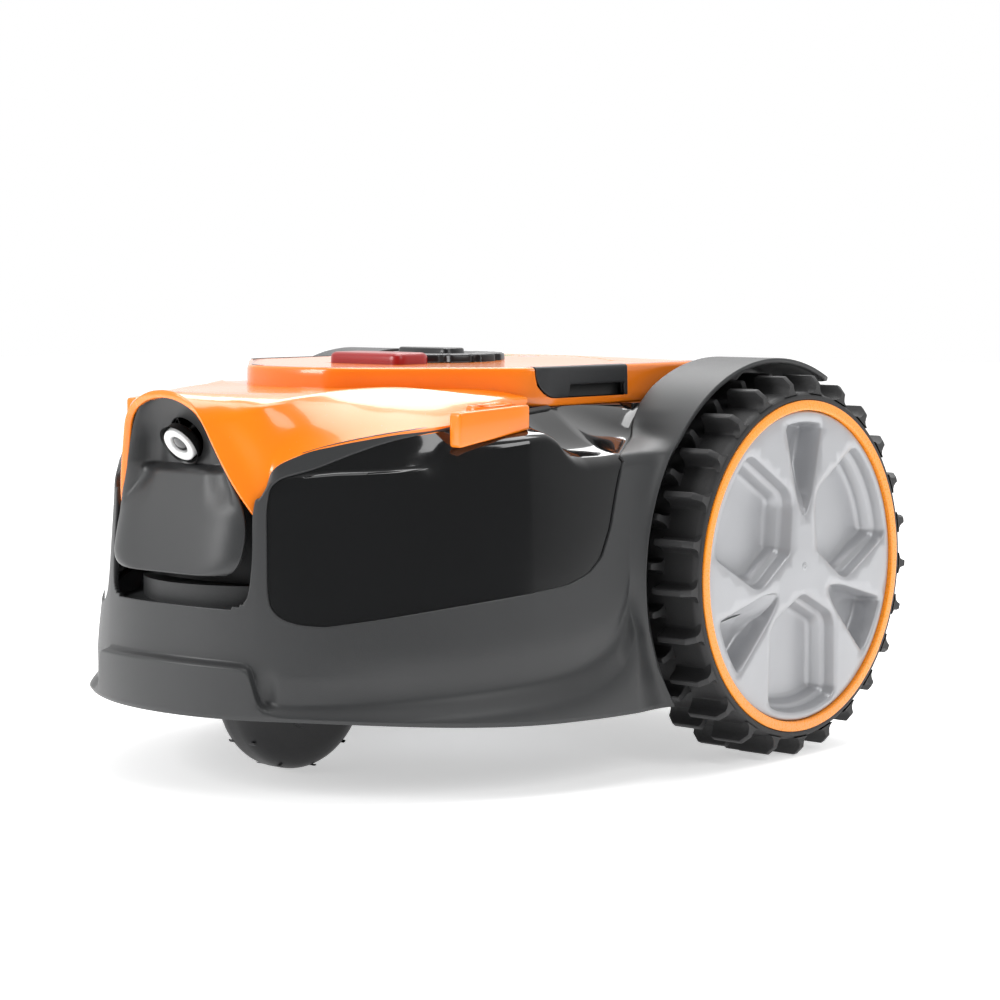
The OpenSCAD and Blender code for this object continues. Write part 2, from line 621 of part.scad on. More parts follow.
module height_knob() {
  color("black") translate([0, knob_y, 0]) difference() {
    union() {
      translate([0, 0, deck_z + 0.3]) difference() {
        union() {
          cylinder(r = knob_d / 2, h = 3.2, $fn = 96);
          translate([0, 0, 3.2]) cylinder(r1 = knob_d / 2, r2 = knob_d / 2 - 1.6, h = 1.6, $fn = 96);
        }
        for (a = [0:45:315]) rotate([0, 0, a + 22.5]) translate([knob_d / 2 + 6, 0, -1]) cylinder(r = 9, h = 10);
      }
      // raised pointer grip
      translate([0, 0, deck_z]) cylinder(r = 10, h = 8);
      translate([-30, -6, deck_z + 1]) cube([30, 12, 7]);
      translate([0, 0, deck_z - 12]) cylinder(r = 9, h = 13);
    }
    translate([0, 0, deck_z - 14]) cylinder(r = 3, h = 10);
  }
}
module height_spindle() {
  color("silver") translate([0, knob_y, 0]) {
    translate([0, 0, spindle_end]) cylinder(r = spindle_r, h = deck_z - 12.3 - spindle_end);
    translate([0, 0, deck_z - 14]) cylinder(r = 3, h = 10);
  }
}

// ---- cutter, drawn at its highest ----

module cutter_cup() {
  color(matte) difference() {
    translate([0, cutter_y, cut_high + 6]) cylinder(r = cup_r, h = cup_h);
    translate([0, cutter_y, cut_high + 9]) cylinder(r = cup_r - 3, h = cup_h - 10);
    translate([0, cutter_y, cut_high]) cylinder(r = 6, h = 20);
    translate([0, knob_y, cut_high + cup_h - 10]) cylinder(r = spindle_r + fit, h = 40);
  }
}
module cutter_motor() {
  color("silver") translate([0, cutter_y, 0]) {
    translate([0, 0, cut_high + 9]) cylinder(r = 27, h = 34);
    translate([0, 0, cut_high + 43]) cylinder(r = 9, h = 4);
  }
}
module cutting_disc() {
  color("silver") translate([0, cutter_y, 0]) difference() {
    union() {
      translate([0, 0, cut_high - 1]) cylinder(r = disc_r, h = 2, $fn = 96);
      translate([0, 0, cut_high]) cylinder(r = 12, h = 5.5);
      translate([0, 0, cut_high]) cylinder(r = 4, h = 8.9);
      translate([0, 0, cut_high - 6]) cylinder(r = 8, h = 5, $fn = 6);
    }
    for (a = [0, 120, 240]) rotate([0, 0, a]) translate([disc_r - 9, 0, cut_high - 5]) cylinder(r = 1.6, h = 10);
    for (a = [60, 180, 300]) rotate([0, 0, a]) translate([32, 0, cut_high - 5]) cylinder(r = 8, h = 10);
  }
}
module blade_screws() {
  color("silver") translate([0, cutter_y, 0]) for (a = [0, 120, 240]) rotate([0, 0, a])
    translate([disc_r - 9, 0, 0]) {
      translate([0, 0, cut_high - 4.6]) cylinder(r = 4, h = 1.6);
      translate([0, 0, cut_high - 3.2]) cylinder(r = 1.6, h = 4.2);
    }
}
module blade(a) {
  color("silver") translate([0, cutter_y, 0]) rotate([0, 0, a]) translate([disc_r - 9, 0, cut_high - 2.8])
    difference() {
      linear_extrude(1) polygon([[-7, -7], [28, -8], [tip_r - disc_r + 9, 0], [28, 8], [-7, 7]]);
      translate([0, 0, -1]) cylinder(r = 1.6 + fit, h = 3);
    }
}
module blade_1() { blade(0); }
module blade_2() { blade(120); }
module blade_3() { blade(240); }

// ---- drive wheels ----

tyre_in_x = wheel_face_x - 1.5 - tyre_w;
bead_r = 92.1;
// one row of lugs round the casing, as a toothed outline
module lug_outline(turn) {
  base = wheel_r - lug_h;
  foot = 3.6;                       // half angle at the foot of a lug
  tip = 1.9;                        // half angle at its tip
  pitch = 360 / lug_n;
  polygon([for (k = [0:lug_n - 1]) let (a = k * pitch + turn)
    each [for (p = [[base, -foot], [wheel_r, -tip], [wheel_r, tip], [base, foot], [base, pitch / 2]])
      p[0] * [cos(a + p[1]), sin(a + p[1])]]]);
}
module tyre() {
  color("black") intersection() {
    difference() {
      union() {
        along_x(tyre_in_x) linear_extrude(tyre_w / 2) lug_outline(-90 + 180 / lug_n);
        along_x(tyre_in_x + tyre_w / 2) linear_extrude(tyre_w / 2) lug_outline(-90);
      }
      along_x(tyre_in_x - 1) cylinder(r = bead_r, h = tyre_w + 2, $fn = 128);
    }
    // lug ends chamfered down to the casing
    along_x(tyre_in_x) rotate_extrude($fn = 128)
      polygon([[90, -1], [wheel_r - lug_h + 0.7, -1], [wheel_r + 0.5, 5], [wheel_r + 0.5, tyre_w - 5],
               [wheel_r - lug_h + 0.7, tyre_w + 1], [90, tyre_w + 1]]);
  }
}
module rim() {
  color(matte) difference() {
    union() {
      along_x(tyre_in_x) difference() {
        cylinder(r = bead_r - 0.05, h = tyre_w - 4, $fn = 128);
        translate([0, 0, -1]) cylinder(r = cap_r + 0.05, h = tyre_w, $fn = 128);
      }
      along_x(tyre_in_x + 20) cylinder(r = bead_r - 2, h = 4, $fn = 128);
      along_x(tyre_in_x - 6) cylinder(r = 16, h = 26);
    }
    along_x(tyre_in_x - 8) cylinder(r = shaft_r + 0.02, h = 60);
  }
}
// pocket outlines of the hubcap: u points along the pocket's middle, grown by d
module wide_pocket(d) {
  r = 85 + d;
  a = 22.8;
  polygon(concat([[15 - 1.2 * d, 0], [30 - d, -31.5 - d]],
    [for (k = [-4:4]) r * [cos(a * k / 4), sin(a * k / 4)]],
    [[30 - d, 31.5 + d]]));
}
module slim_pocket(d) {
  r = 83.5 + d;
  a = 13;
  polygon(concat([[27 - d, -2 - d], [36, -6.5 - d]],
    [for (k = [-3:3]) (r) * [cos(a * k / 3), sin(a * k / 3)]],
    [[36, 6.5 + d], [27 - d, 2 + d]]));
}
module pockets(d, depth) {
  for (k = [0:2]) {
    // the slim pockets are a little deeper
    rotate([0, 0, 120 * k]) translate([0, 0, -depth - 0.8]) linear_extrude(depth + 6) slim_pocket(d);
    rotate([0, 0, 60 + 120 * k]) translate([0, 0, -depth]) linear_extrude(depth + 5) wide_pocket(d);
  }
}
cap_t = 20;
// hubcap axis frame: the first slim pocket points straight up
module on_cap() {
  translate([wheel_face_x - 0.8, axle_y, axle_z]) rotate([0, 90, 0]) rotate([0, 0, 180]) children();
}
module hubcap() {
  color("silver") on_cap() difference() {
    translate([0, 0, -cap_t]) cylinder(r = cap_r - 0.1, h = cap_t, $fn = 128);
    pockets(0, 15);
    difference() {
      translate([0, 0, -cap_t - 1]) cylinder(r = cap_r - 3, h = cap_t - 2);
      pockets(1.7, 17);
      translate([0, 0, -cap_t - 2]) cylinder(r = 13, h = cap_t);
    }
    translate([0, 0, -cap_t - 1]) cylinder(r = shaft_r + 0.02, h = 12);
  }
}
module trim_ring() {
  color("orange") along_x(wheel_face_x - 3) difference() {
    cylinder(r = ring_r, h = 3, $fn = 128);
    translate([0, 0, -1]) cylinder(r = cap_r + 0.1, h = 5, $fn = 128);
    translate([0, 0, -1]) cylinder(r = bead_r, h = 2.5, $fn = 128);
  }
}
module axle() {
  color("silver") along_x(102) cylinder(r = shaft_r, h = wheel_face_x - 10 - 102);
}
module tyre_left() { tyre_cut(); }
module tyre_right() { mirror([1, 0, 0]) tyre_cut(); }
// seat for the trim ring in the tyre's outer face
module tyre_cut() {
  color("black") difference() {
    tyre();
    along_x(wheel_face_x - 3 - 0.05) cylinder(r = ring_r + 0.1, h = 5, $fn = 128);
  }
}
module rim_left() { rim(); }
module rim_right() { mirror([1, 0, 0]) rim(); }
module hubcap_left() { hubcap(); }
module hubcap_right() { mirror([1, 0, 0]) hubcap(); }
module trim_ring_left() { trim_ring(); }
module trim_ring_right() { mirror([1, 0, 0]) trim_ring(); }
module axle_left() { axle(); }
module axle_right() { mirror([1, 0, 0]) axle(); }

// ---- caster ----

fork_t = 4;
fork_in = caster_w / 2 + 1;
module caster_fork() {
  color(matte) difference() {
    union() {
      translate([0, swivel_y, 108 - 1.2]) mirror([0, 0, 1]) cylinder(r = 16, h = 4.5);
      translate([0, swivel_y, 102.5]) cylinder(r = 8, h = 49.5);
      for (m = [0, 1]) mirror([m, 0, 0]) {
        translate([fork_in, swivel_y - 8, 102]) cube([fork_t, 23 + 8, 4.6]);
        hull() {
          translate([fork_in, swivel_y - 6, 100]) cube([fork_t, 28, 6]);
          translate([fork_in, caster_y, caster_r]) rotate([0, 90, 0]) cylinder(r = 9, h = fork_t, $fn = 32);
        }
      }
      translate([-fork_in - fork_t, swivel_y - 8, 102.2]) cube([2 * (fork_in + fork_t), 16, 4.4]);
    }
    translate([-40, caster_y, caster_r]) rotate([0, 90, 0]) cylinder(r = 4.02, h = 80);
  }
}
module caster_tyre() {
  r = caster_r;
  w = caster_w / 2;
  c = 10;
  color("black") translate([0, caster_y, caster_r]) rotate([0, 90, 0]) difference() {
    rotate_extrude($fn = 96) polygon(concat([[26, -w]],
      [for (k = [0:6]) [r - c + c * sin(k * 15), -w + c - c * cos(k * 15)]],
      [for (k = [0:6]) [r - c + c * cos(k * 15), w - c + c * sin(k * 15)]], [[26, w]]));
    // short slots moulded across the tread
    for (k = [0:11]) rotate([0, 0, k * 30]) translate([r - 0.8, -0.9, -6]) cube([5, 1.8, 12]);
  }
}
module caster_hub() {
  w = caster_w / 2;
  color(matte) translate([0, caster_y, caster_r]) rotate([0, 90, 0]) difference() {
    union() {
      translate([0, 0, -w]) cylinder(r = 25.95, h = 2 * w);
      translate([0, 0, -w - 0.7]) cylinder(r = 8, h = 2 * w + 1.4);
    }
    for (k = [0:4]) for (m = [0, 1]) mirror([0, 0, m]) rotate([0, 0, k * 72])
      translate([17, 0, w - 5]) cylinder(r = 5, h = 10);
    translate([0, 0, -30]) cylinder(r = 4 + fit, h = 60);
  }
}
module caster_pin() {
  color("silver") translate([-fork_in - fork_t, caster_y, caster_r]) rotate([0, 90, 0]) {
    cylinder(r = 4, h = 2 * (fork_in + fork_t));
    translate([0, 0, -1.8]) cylinder(r = 6.5, h = 1.8);
    translate([0, 0, 2 * (fork_in + fork_t)]) cylinder(r = 6.5, h = 1.8);
  }
}

skirt();
wheel_arch_left();
wheel_arch_right();
hood();
side_panel_left();
side_panel_right();
snout_face();
camera_module();
camera_ring();
camera_lens();
tail_shell();
chassis();
caster_socket();
battery_pack();
main_board();
gear_motor_left();
gear_motor_right();
blade_guard();
height_guide();
charging_socket();
key_board();
body_screws();
stop_button();
stop_spring();
stop_switch();
key_power();
key_start();
key_home();
battery_lid();
lid_pin();
latch_left();
latch_right();
height_knob();
height_spindle();
cutter_cup();
cutter_motor();
cutting_disc();
blade_screws();
blade_1();
blade_2();
blade_3();
tyre_left();
rim_left();
hubcap_left();
trim_ring_left();
axle_left();
tyre_right();
rim_right();
hubcap_right();
trim_ring_right();
axle_right();
caster_fork();
caster_tyre();
caster_hub();
caster_pin();
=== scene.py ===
import bpy
import bmesh
import json
import math
import numpy as np
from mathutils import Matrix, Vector, geometry


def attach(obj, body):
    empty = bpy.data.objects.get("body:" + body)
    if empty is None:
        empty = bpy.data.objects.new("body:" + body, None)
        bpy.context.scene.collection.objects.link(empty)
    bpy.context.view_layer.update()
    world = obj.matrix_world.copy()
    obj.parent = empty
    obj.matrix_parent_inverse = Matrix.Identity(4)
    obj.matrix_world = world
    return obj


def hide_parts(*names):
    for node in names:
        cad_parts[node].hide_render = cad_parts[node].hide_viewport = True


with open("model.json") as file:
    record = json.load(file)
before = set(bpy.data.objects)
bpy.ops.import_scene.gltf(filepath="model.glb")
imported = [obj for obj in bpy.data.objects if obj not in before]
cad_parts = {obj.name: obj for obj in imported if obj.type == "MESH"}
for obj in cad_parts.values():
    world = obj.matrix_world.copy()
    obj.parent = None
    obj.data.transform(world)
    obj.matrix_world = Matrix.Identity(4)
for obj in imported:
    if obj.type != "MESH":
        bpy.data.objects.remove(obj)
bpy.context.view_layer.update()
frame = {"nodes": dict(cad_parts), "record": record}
MM = 0.001
nodes = frame["nodes"]
scene = bpy.context.scene

# Lengths are in mm until Mesh.make. +x is the mower's left and -y its front.

# ---- helpers


def smooth(keys, x):
    """Monotone cubic through (x, y) pairs."""
    k = np.array(keys, float)
    xs, ys = k[:, 0], k[:, 1:]
    h = np.diff(xs)[:, None]
    d = np.diff(ys, axis=0) / h
    m = np.zeros_like(ys)
    m[0], m[-1] = d[0], d[-1]
    same = d[:-1] * d[1:] > 0
    w1, w2 = 2 * h[1:] + h[:-1], h[1:] + 2 * h[:-1]
    with np.errstate(divide="ignore", invalid="ignore"):
        hm = (w1 + w2) / (w1 / d[:-1] + w2 / d[1:])
    m[1:-1] = np.where(same, hm, 0)
    x = np.clip(np.asarray(x, float), xs[0], xs[-1])
    i = np.clip(np.searchsorted(xs, x, side="right") - 1, 0, len(xs) - 2)
    t = ((x - xs[i]) / h[i, 0])[..., None]
    hh = h[i]
    y = ((1 + 2 * t) * (1 - t) ** 2 * ys[i] + t * (1 - t) ** 2 * hh * m[i]
         + t * t * (3 - 2 * t) * ys[i + 1] + t * t * (t - 1) * hh * m[i + 1])
    return y[..., 0] if ys.shape[1] == 1 else y


def step(a, b, x):
    t = np.clip((x - a) / (b - a), 0, 1)
    return t * t * (3 - 2 * t)


def spline(points, n):
    """Catmull-Rom through points, n samples for each span; works on arrays of points too."""
    p = np.array(points, float)
    ext = np.concatenate([[2 * p[0] - p[1]], p, [2 * p[-1] - p[-2]]])
    out = []
    for i in range(1, len(ext) - 2):
        for k in range(n):
            t = k / n
            a, b, c, d = ext[i - 1], ext[i], ext[i + 1], ext[i + 2]
            out.append(0.5 * (2 * b + (c - a) * t + (2 * a - 5 * b + 4 * c - d) * t ** 2
                              + (3 * b - a - 3 * c + d) * t ** 3))
    out.append(p[-1])
    return np.array(out)


def fillet(points, radii, seg=5, closed=False, fill=0):
    """A polyline with its corners rounded; fill adds points inside each straight part."""
    p = [np.array(q, float) for q in points]
    n = len(p)
    out = []
    for i in range(n):
        r = radii[i]
        if not closed and i in (0, n - 1):
            corner = [p[i]]
        else:
            a, b, c = p[i - 1], p[i], p[(i + 1) % n]
            la, lc = np.linalg.norm(a - b), np.linalg.norm(c - b)
            ra, rc = min(r, 0.48 * la), min(r, 0.48 * lc)
            s, e = b + (a - b) / max(la, 1e-9) * ra, b + (c - b) / max(lc, 1e-9) * rc
            corner = [(1 - t) ** 2 * s + 2 * t * (1 - t) * b + t * t * e for t in np.linspace(0, 1, seg)]
        if out and fill:
            q = out[-1]
            out += [q + (corner[0] - q) * (k + 1) / (fill + 1) for k in range(fill)]
        out += corner
    if closed and fill:
        q = out[-1]
        out += [q + (out[0] - q) * (k + 1) / (fill + 1) for k in range(fill)]
    return np.array(out)


def unit(v):
    return v / np.maximum(np.linalg.norm(v, axis=-1, keepdims=True), 1e-12)


def grid_normals(g):
    u = np.gradient(g, axis=0)
    v = np.gradient(g, axis=1)
    return unit(np.cross(u, v))


def facing(normals, probe, sign=1):
    """Normals turned over where needed, so that the component at probe has this sign."""
    return -normals if normals[probe] * sign < 0 else normals


def turned_over(faces):
    return [list(reversed(f)) for f in faces]


def wound(verts, faces, normals, k):
    """Faces turned over where needed, so that face k winds round its normal."""
    a, b, c = (verts[i] for i in faces[k][:3])
    return turned_over(faces) if np.dot(np.cross(b - a, c - b), normals[faces[k][0]]) < 0 else faces


def grid_faces(ni, nj, closed_i=False, closed_j=False):
    fi, fj = (ni if closed_i else ni - 1), (nj if closed_j else nj - 1)
    return [[i * nj + j, ((i + 1) % ni) * nj + j, ((i + 1) % ni) * nj + (j + 1) % nj, i * nj + (j + 1) % nj]
            for i in range(fi) for j in range(fj)]


def stations(*runs):
    """Sorted places from runs of (first, last, count), each place once."""
    return sorted({x for run in runs for x in np.linspace(*run)})


def turns(n):
    """n equal steps of a full turn, in radians."""
    return np.linspace(0, 2 * math.pi, n + 1)[:-1]


class Mesh:
    """Vertices in mm and faces, gathered before an object is made."""

    def __init__(self):
        self.v, self.f = [], []

    def add(self, verts, faces):
        b = len(self.v)
        self.v += [tuple(map(float, q)) for q in verts]
        self.f += [[b + i for i in f] for f in faces]
        return b

    def join(self, other):
        self.add(other.v, other.f)

    def grid(self, g, closed_i=False, closed_j=False):
        g = np.asarray(g, float)
        return self.add(g.reshape(-1, 3), grid_faces(g.shape[0], g.shape[1], closed_i, closed_j))

    def loops(self, loops, cap_first=False, cap_last=False):
        g = np.asarray(loops, float)
        b = self.grid(g, closed_j=True)
        n = g.shape[1]
        if cap_first:
            self.f.append([b + k for k in range(n)])
        if cap_last:
            e = b + (g.shape[0] - 1) * n
            self.f.append([e + k for k in range(n - 1, -1, -1)])
        return b

    def stack(self, outline, levels, **caps):
        """Walls over a plan outline. levels is (z, outward) pairs."""
        self.loops([lift(offset(outline, d), z) for z, d in levels], **caps)

    def mirrored(self):
        """Adds the other half."""
        b = len(self.v)
        self.v += [(-x, y, z) for x, y, z in self.v]
        self.f += [[b + i for i in reversed(f)] for f in list(self.f)]

    def other_side(self):
        """The same mesh on the mower's other side."""
        m = Mesh()
        m.add([(-x, y, z) for x, y, z in self.v], turned_over(self.f))
        return m

    def make(self, name, body, slot, replaces=(), weld=0.0, sharp=None, outward=False, finish=None):
        """Links the object. weld is a distance in mm and sharp an angle in degrees."""
        me = bpy.data.meshes.new(name)
        me.from_pydata([(x * MM, y * MM, z * MM) for x, y, z in self.v], [], self.f)
        bm = bmesh.new()
        bm.from_mesh(me)
        if weld:
            bmesh.ops.remove_doubles(bm, verts=bm.verts, dist=weld * MM)
        bmesh.ops.dissolve_degenerate(bm, edges=bm.edges, dist=1e-7)
        bmesh.ops.delete(bm, geom=[v for v in bm.verts if not v.link_faces], context="VERTS")
        if outward:
            bmesh.ops.recalc_face_normals(bm, faces=bm.faces)
        for f in bm.faces:
            f.smooth = True
        if sharp:
            for e in bm.edges:
                if len(e.link_faces) == 2 and e.calc_face_angle(0) > math.radians(sharp):
                    e.smooth = False
        bm.to_mesh(me)
        bm.free()
        ob = bpy.data.objects.new(name, me)
        scene.collection.objects.link(ob)
        me.materials.append(M[finish or slot])
        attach(ob, body)
        if replaces:
            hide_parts(*replaces)


def clip(verts, faces, field, extra=()):
    """Keeps the part of a mesh where field > 0, cutting faces across. extra arrays follow."""
    verts, field = list(map(np.array, verts)), list(field)
    extra = [list(e) for e in extra]
    cut, out = {}, []

    def at(a, b):
        key = (min(a, b), max(a, b))
        if key not in cut:
            a, b = key
            t = min(max(field[a] / (field[a] - field[b]), 0.08), 0.92)
            verts.append(verts[a] + (verts[b] - verts[a]) * t)
            field.append(0.0)
            for e in extra:
                e.append(e[a] + (e[b] - e[a]) * t)
            cut[key] = len(verts) - 1
        return cut[key]

    for f in faces:
        s = [field[i] > 0 for i in f]
        if all(s):
            out.append(list(f))
            continue
        if not any(s):
            continue
        p = []
        for k in range(len(f)):
            a, b = f[k], f[(k + 1) % len(f)]
            if field[a] > 0:
                p.append(a)
            if (field[a] > 0) != (field[b] > 0):
                p.append(at(a, b))
        if len(p) >= 3:
            out.append(p)
    keep = sorted({i for f in out for i in f})
    used = {i: k for k, i in enumerate(keep)}
    return (np.array([verts[i] for i in keep]), [[used[i] for i in f] for f in out],
            [np.array([e[i] for i in keep]) for e in extra])


def weld(verts, faces, normals, dist=0.02):
    """Joins vertices at the same place, so that border loops close."""
    seen, ids = {}, []
    for k, q in enumerate(np.round(np.asarray(verts) / dist).astype(int)):
        ids.append(seen.setdefault(tuple(q), k))
    keep = sorted(set(ids))
    pos = {k: i for i, k in enumerate(keep)}
    out = []
    for f in faces:
        g = [pos[ids[i]] for i in f]
        g = [a for i, a in enumerate(g) if a != g[i - 1]]
        if len(set(g)) >= 3:
            out.append(g)
    return np.asarray(verts)[keep], out, np.asarray(normals)[keep]


def roll_rims(verts, faces, normals, profile, keep=None):
    """Adds a rounded rim along every open edge. profile is (outward, down) pairs in mm."""
    count = {}
    for f in faces:
        for k in range(len(f)):
            a, b = f[k], f[(k + 1) % len(f)]
            count[(a, b)] = count.get((a, b), 0) + 1
    edges = [(a, b) for a, b in count if (b, a) not in count]
    if keep is not None:
        edges = [(a, b) for a, b in edges if keep(verts[a], verts[b])]
    out = {}
    for a, b in edges:
        e = verts[b] - verts[a]
        n = normals[a] + normals[b]
        t = np.cross(e, n)
        for i in (a, b):
            out[i] = out.get(i, 0) + t / (np.linalg.norm(n) + 1e-12)
    nxt = {a: b for a, b in edges}
    prv = {b: a for a, b in edges}
    for _ in range(8):
        out = {i: 0.5 * unit(out[i]) + 0.25 * (unit(out[nxt[i]]) if i in nxt else unit(out[i]))
               + 0.25 * (unit(out[prv[i]]) if i in prv else unit(out[i])) for i in out}
    ids = sorted(out)
    index = {i: k for k, i in enumerate(ids)}
    v = list(verts)
    rings = []
    for o, d in profile:
        rings.append(len(v))
        for i in ids:
            v.append(verts[i] + unit(out[i]) * o - normals[i] * d)
    f = [list(q) for q in faces]
    for a, b in edges:
        ra = [a] + [r + index[a] for r in rings]
        rb = [b] + [r + index[b] for r in rings]
        for k in range(len(ra) - 1):
            f.append([rb[k], ra[k], ra[k + 1], rb[k + 1]])
    return np.array(v), f


def poly_distance(poly, q):
    """Signed distance to a closed outline, positive inside."""
    a = np.asarray(poly, float)
    b = np.roll(a, -1, axis=0)
    q = np.asarray(q, float)
    best = np.full(len(q), 1e9)
    inside = np.zeros(len(q), bool)
    for s, e in zip(a, b):
        d = e - s
        t = np.clip(((q - s) @ d) / max(d @ d, 1e-12), 0, 1)
        best = np.minimum(best, np.linalg.norm(q - s - t[:, None] * d, axis=1))
        c = (s[1] > q[:, 1]) != (e[1] > q[:, 1])
        with np.errstate(divide="ignore", invalid="ignore"):
            x = s[0] + (q[:, 1] - s[1]) * d[0] / (d[1] if d[1] else 1e-12)
        inside ^= c & (q[:, 0] < x)
    return np.where(inside, best, -best)


def offset(loop, d):
    """A closed outline moved outward by d along its corner normals."""
    p = np.asarray(loop, float)
    e = unit(np.roll(p, -1, 0) - p)
    n = np.stack([e[:, 1], -e[:, 0]], 1)
    m = unit(n + np.roll(n, 1, 0))
    area = 0.5 * np.sum(p[:, 0] * np.roll(p[:, 1], -1) - np.roll(p[:, 0], -1) * p[:, 1])
    return p + m * d * (1 if area > 0 else -1)


def lift(loop, z):
    return np.concatenate([loop, np.full((len(loop), 1), z)], 1)


def round_rect(x, y, w, d, r, seg=6, fill=1):
    corners = [(x + i * w / 2, y + j * d / 2) for i, j in ((-1, -1), (1, -1), (1, 1), (-1, 1))]
    return fillet(corners, [r] * 4, seg, closed=True, fill=fill)


def circle(x, y, r, n=48):
    return np.array([(x + r * math.cos(a), y + r * math.sin(a)) for a in turns(n)])


# ---- materials


BROAD_SCALE = 22.0                       # broad variation, in cycles per metre
GRAIN_DEPTH, WAVE_DEPTH = 0.0002, 0.0006  # in metres
M = {}


def srgb(c):
    return tuple(((x / 255) / 12.92 if x <= 10 else ((x / 255 + 0.055) / 1.055) ** 2.4) for x in c) + (1,)


def material(name, colour, rough, metallic=0.0, coat=0.0, coat_rough=0.05, grain=0.0, grain_scale=900.0, wear=0.06,
             vary=0.06, brushed=None, ior=1.5, edge_highlight=0.0, wave=0.0):
    """Adds a procedural finish to M: fine moulded grain, gentle variation in colour and gloss, light wear, and where
    asked a painted highlight that lightens convex edges.
    """
    M[name] = m = bpy.data.materials.new(name)
    m.use_nodes = True
    n, link = m.node_tree.nodes, m.node_tree.links.new
    bsdf = n["Principled BSDF"]
    base = srgb(colour)

    def node(kind, **values):
        """A new node with its inputs set. An underscore in a key stands for a space."""
        made = n.new("ShaderNode" + kind)
        for key, value in values.items():
            made.inputs[key.replace("_", " ")].default_value = value
        return made

    def shade(k, plus=0.0):
        return tuple(min(1, x * k + plus) for x in base[:3]) + (1,)

    for key, value in (("Metallic", metallic), ("IOR", ior), ("Coat Weight", coat), ("Coat Roughness", coat_rough)):
        bsdf.inputs[key].default_value = value
    place = node("TexCoord").outputs["Object"]
    source = place
    if brushed:
        stretch = node("Mapping", Scale=brushed)
        link(place, stretch.inputs["Vector"])
        source = stretch.outputs["Vector"]
    broad = node("TexNoise", Scale=BROAD_SCALE, Detail=5.0)
    link(place, broad.inputs["Vector"])
    fine = node("TexNoise", Scale=grain_scale, Detail=2.0)
    link(source, fine.inputs["Vector"])
    ramp = node("MapRange", From_Min=0.3, From_Max=0.7)
    link(broad.outputs["Fac"], ramp.inputs["Value"])
    mix = n.new("ShaderNodeMix")
    mix.data_type = "RGBA"
    mix.inputs["A"].default_value = shade(1 - wear)
    mix.inputs["B"].default_value = shade(1 + wear)
    link(ramp.outputs["Result"], mix.inputs["Factor"])
    # painted highlight: convex edges, found by pointiness, are lightened towards 1.6 times the base colour
    if edge_highlight:
        edge = node("MapRange", From_Min=0.5, From_Max=0.58, To_Max=edge_highlight)
        link(node("NewGeometry").outputs["Pointiness"], edge.inputs["Value"])
        plain, mix = mix, n.new("ShaderNodeMix")
        mix.data_type = "RGBA"
        mix.inputs["B"].default_value = shade(1.6, 0.02)
        link(edge.outputs["Result"], mix.inputs["Factor"])
        link(plain.outputs["Result"], mix.inputs["A"])
    link(mix.outputs["Result"], bsdf.inputs["Base Color"])
    gloss = node("MapRange", To_Min=max(0.01, rough - vary), To_Max=min(1.0, rough + vary))
    link(fine.outputs["Fac"], gloss.inputs["Value"])
    link(gloss.outputs["Result"], bsdf.inputs["Roughness"])
    bump = node("Bump", Strength=grain, Distance=GRAIN_DEPTH)
    link(fine.outputs["Fac"], bump.inputs["Height"])
    link(bump.outputs["Normal"], bsdf.inputs["Normal"])
    if wave:
        soft = node("Bump", Strength=wave, Distance=WAVE_DEPTH)
        link(broad.outputs["Fac"], soft.inputs["Height"])
        link(soft.outputs["Normal"], bump.inputs["Normal"])
        link(soft.outputs["Normal"], bsdf.inputs["Coat Normal"])
    return m


# the skirt gets painted highlights on its convex edges
material("skirt_plastic", (47, 48, 49), 0.44, grain=0.22, grain_scale=1500, vary=0.05, edge_highlight=0.15)
material("hood_plastic", (255, 132, 16), 0.26, coat=0.6, coat_rough=0.06, grain=0.02, grain_scale=700,
         wear=0.03, vary=0.03, wave=0.03)
material("panel_gloss", (16, 17, 18), 0.10, coat=0.7, coat_rough=0.03, grain=0.01, vary=0.02, wave=0.03)
material("snout_plastic", (48, 49, 50), 0.42, grain=0.2, grain_scale=1500, vary=0.05)
material("camera_black", (10, 10, 11), 0.35, grain=0.1)
material("ring_white", (236, 236, 236), 0.25, coat=0.4, grain=0.03, wear=0.01)
material("lens_glass", (8, 8, 14), 0.05, coat=1.0, coat_rough=0.02, ior=1.6, vary=0.01)
material("chassis_plastic", (44, 45, 46), 0.55, grain=0.3, grain_scale=1200)
material("bush_plastic", (205, 200, 188), 0.4, grain=0.1)
material("battery_case", (34, 35, 38), 0.5, grain=0.3)
material("circuit_board", (20, 84, 46), 0.35, coat=0.3, grain=0.15, grain_scale=2500, wear=0.15)
material("motor_steel", (180, 182, 186), 0.32, metallic=1.0, grain=0.12, brushed=(40, 900, 900))
material("socket_black", (20, 20, 21), 0.4, grain=0.15)
material("fastener_steel", (176, 178, 182), 0.3, metallic=1.0, grain=0.1, brushed=(300, 300, 300))
material("stop_red", (158, 22, 22), 0.34, coat=0.25, coat_rough=0.15, grain=0.1, grain_scale=1500)
material("key_black", (26, 26, 28), 0.4, grain=0.2)
material("key_green", (38, 136, 62), 0.4, grain=0.2)
material("key_grey", (150, 152, 154), 0.4, grain=0.2)
material("knob_black", (24, 24, 26), 0.32, grain=0.18, grain_scale=1500, coat=0.15, coat_rough=0.2)
# the latch covers get painted highlights on their convex edges
material("latch_black", (36, 37, 39), 0.42, grain=0.25, grain_scale=1500, edge_highlight=0.2)
material("blade_steel", (192, 194, 198), 0.25, metallic=1.0, grain=0.1, brushed=(120, 1400, 120))
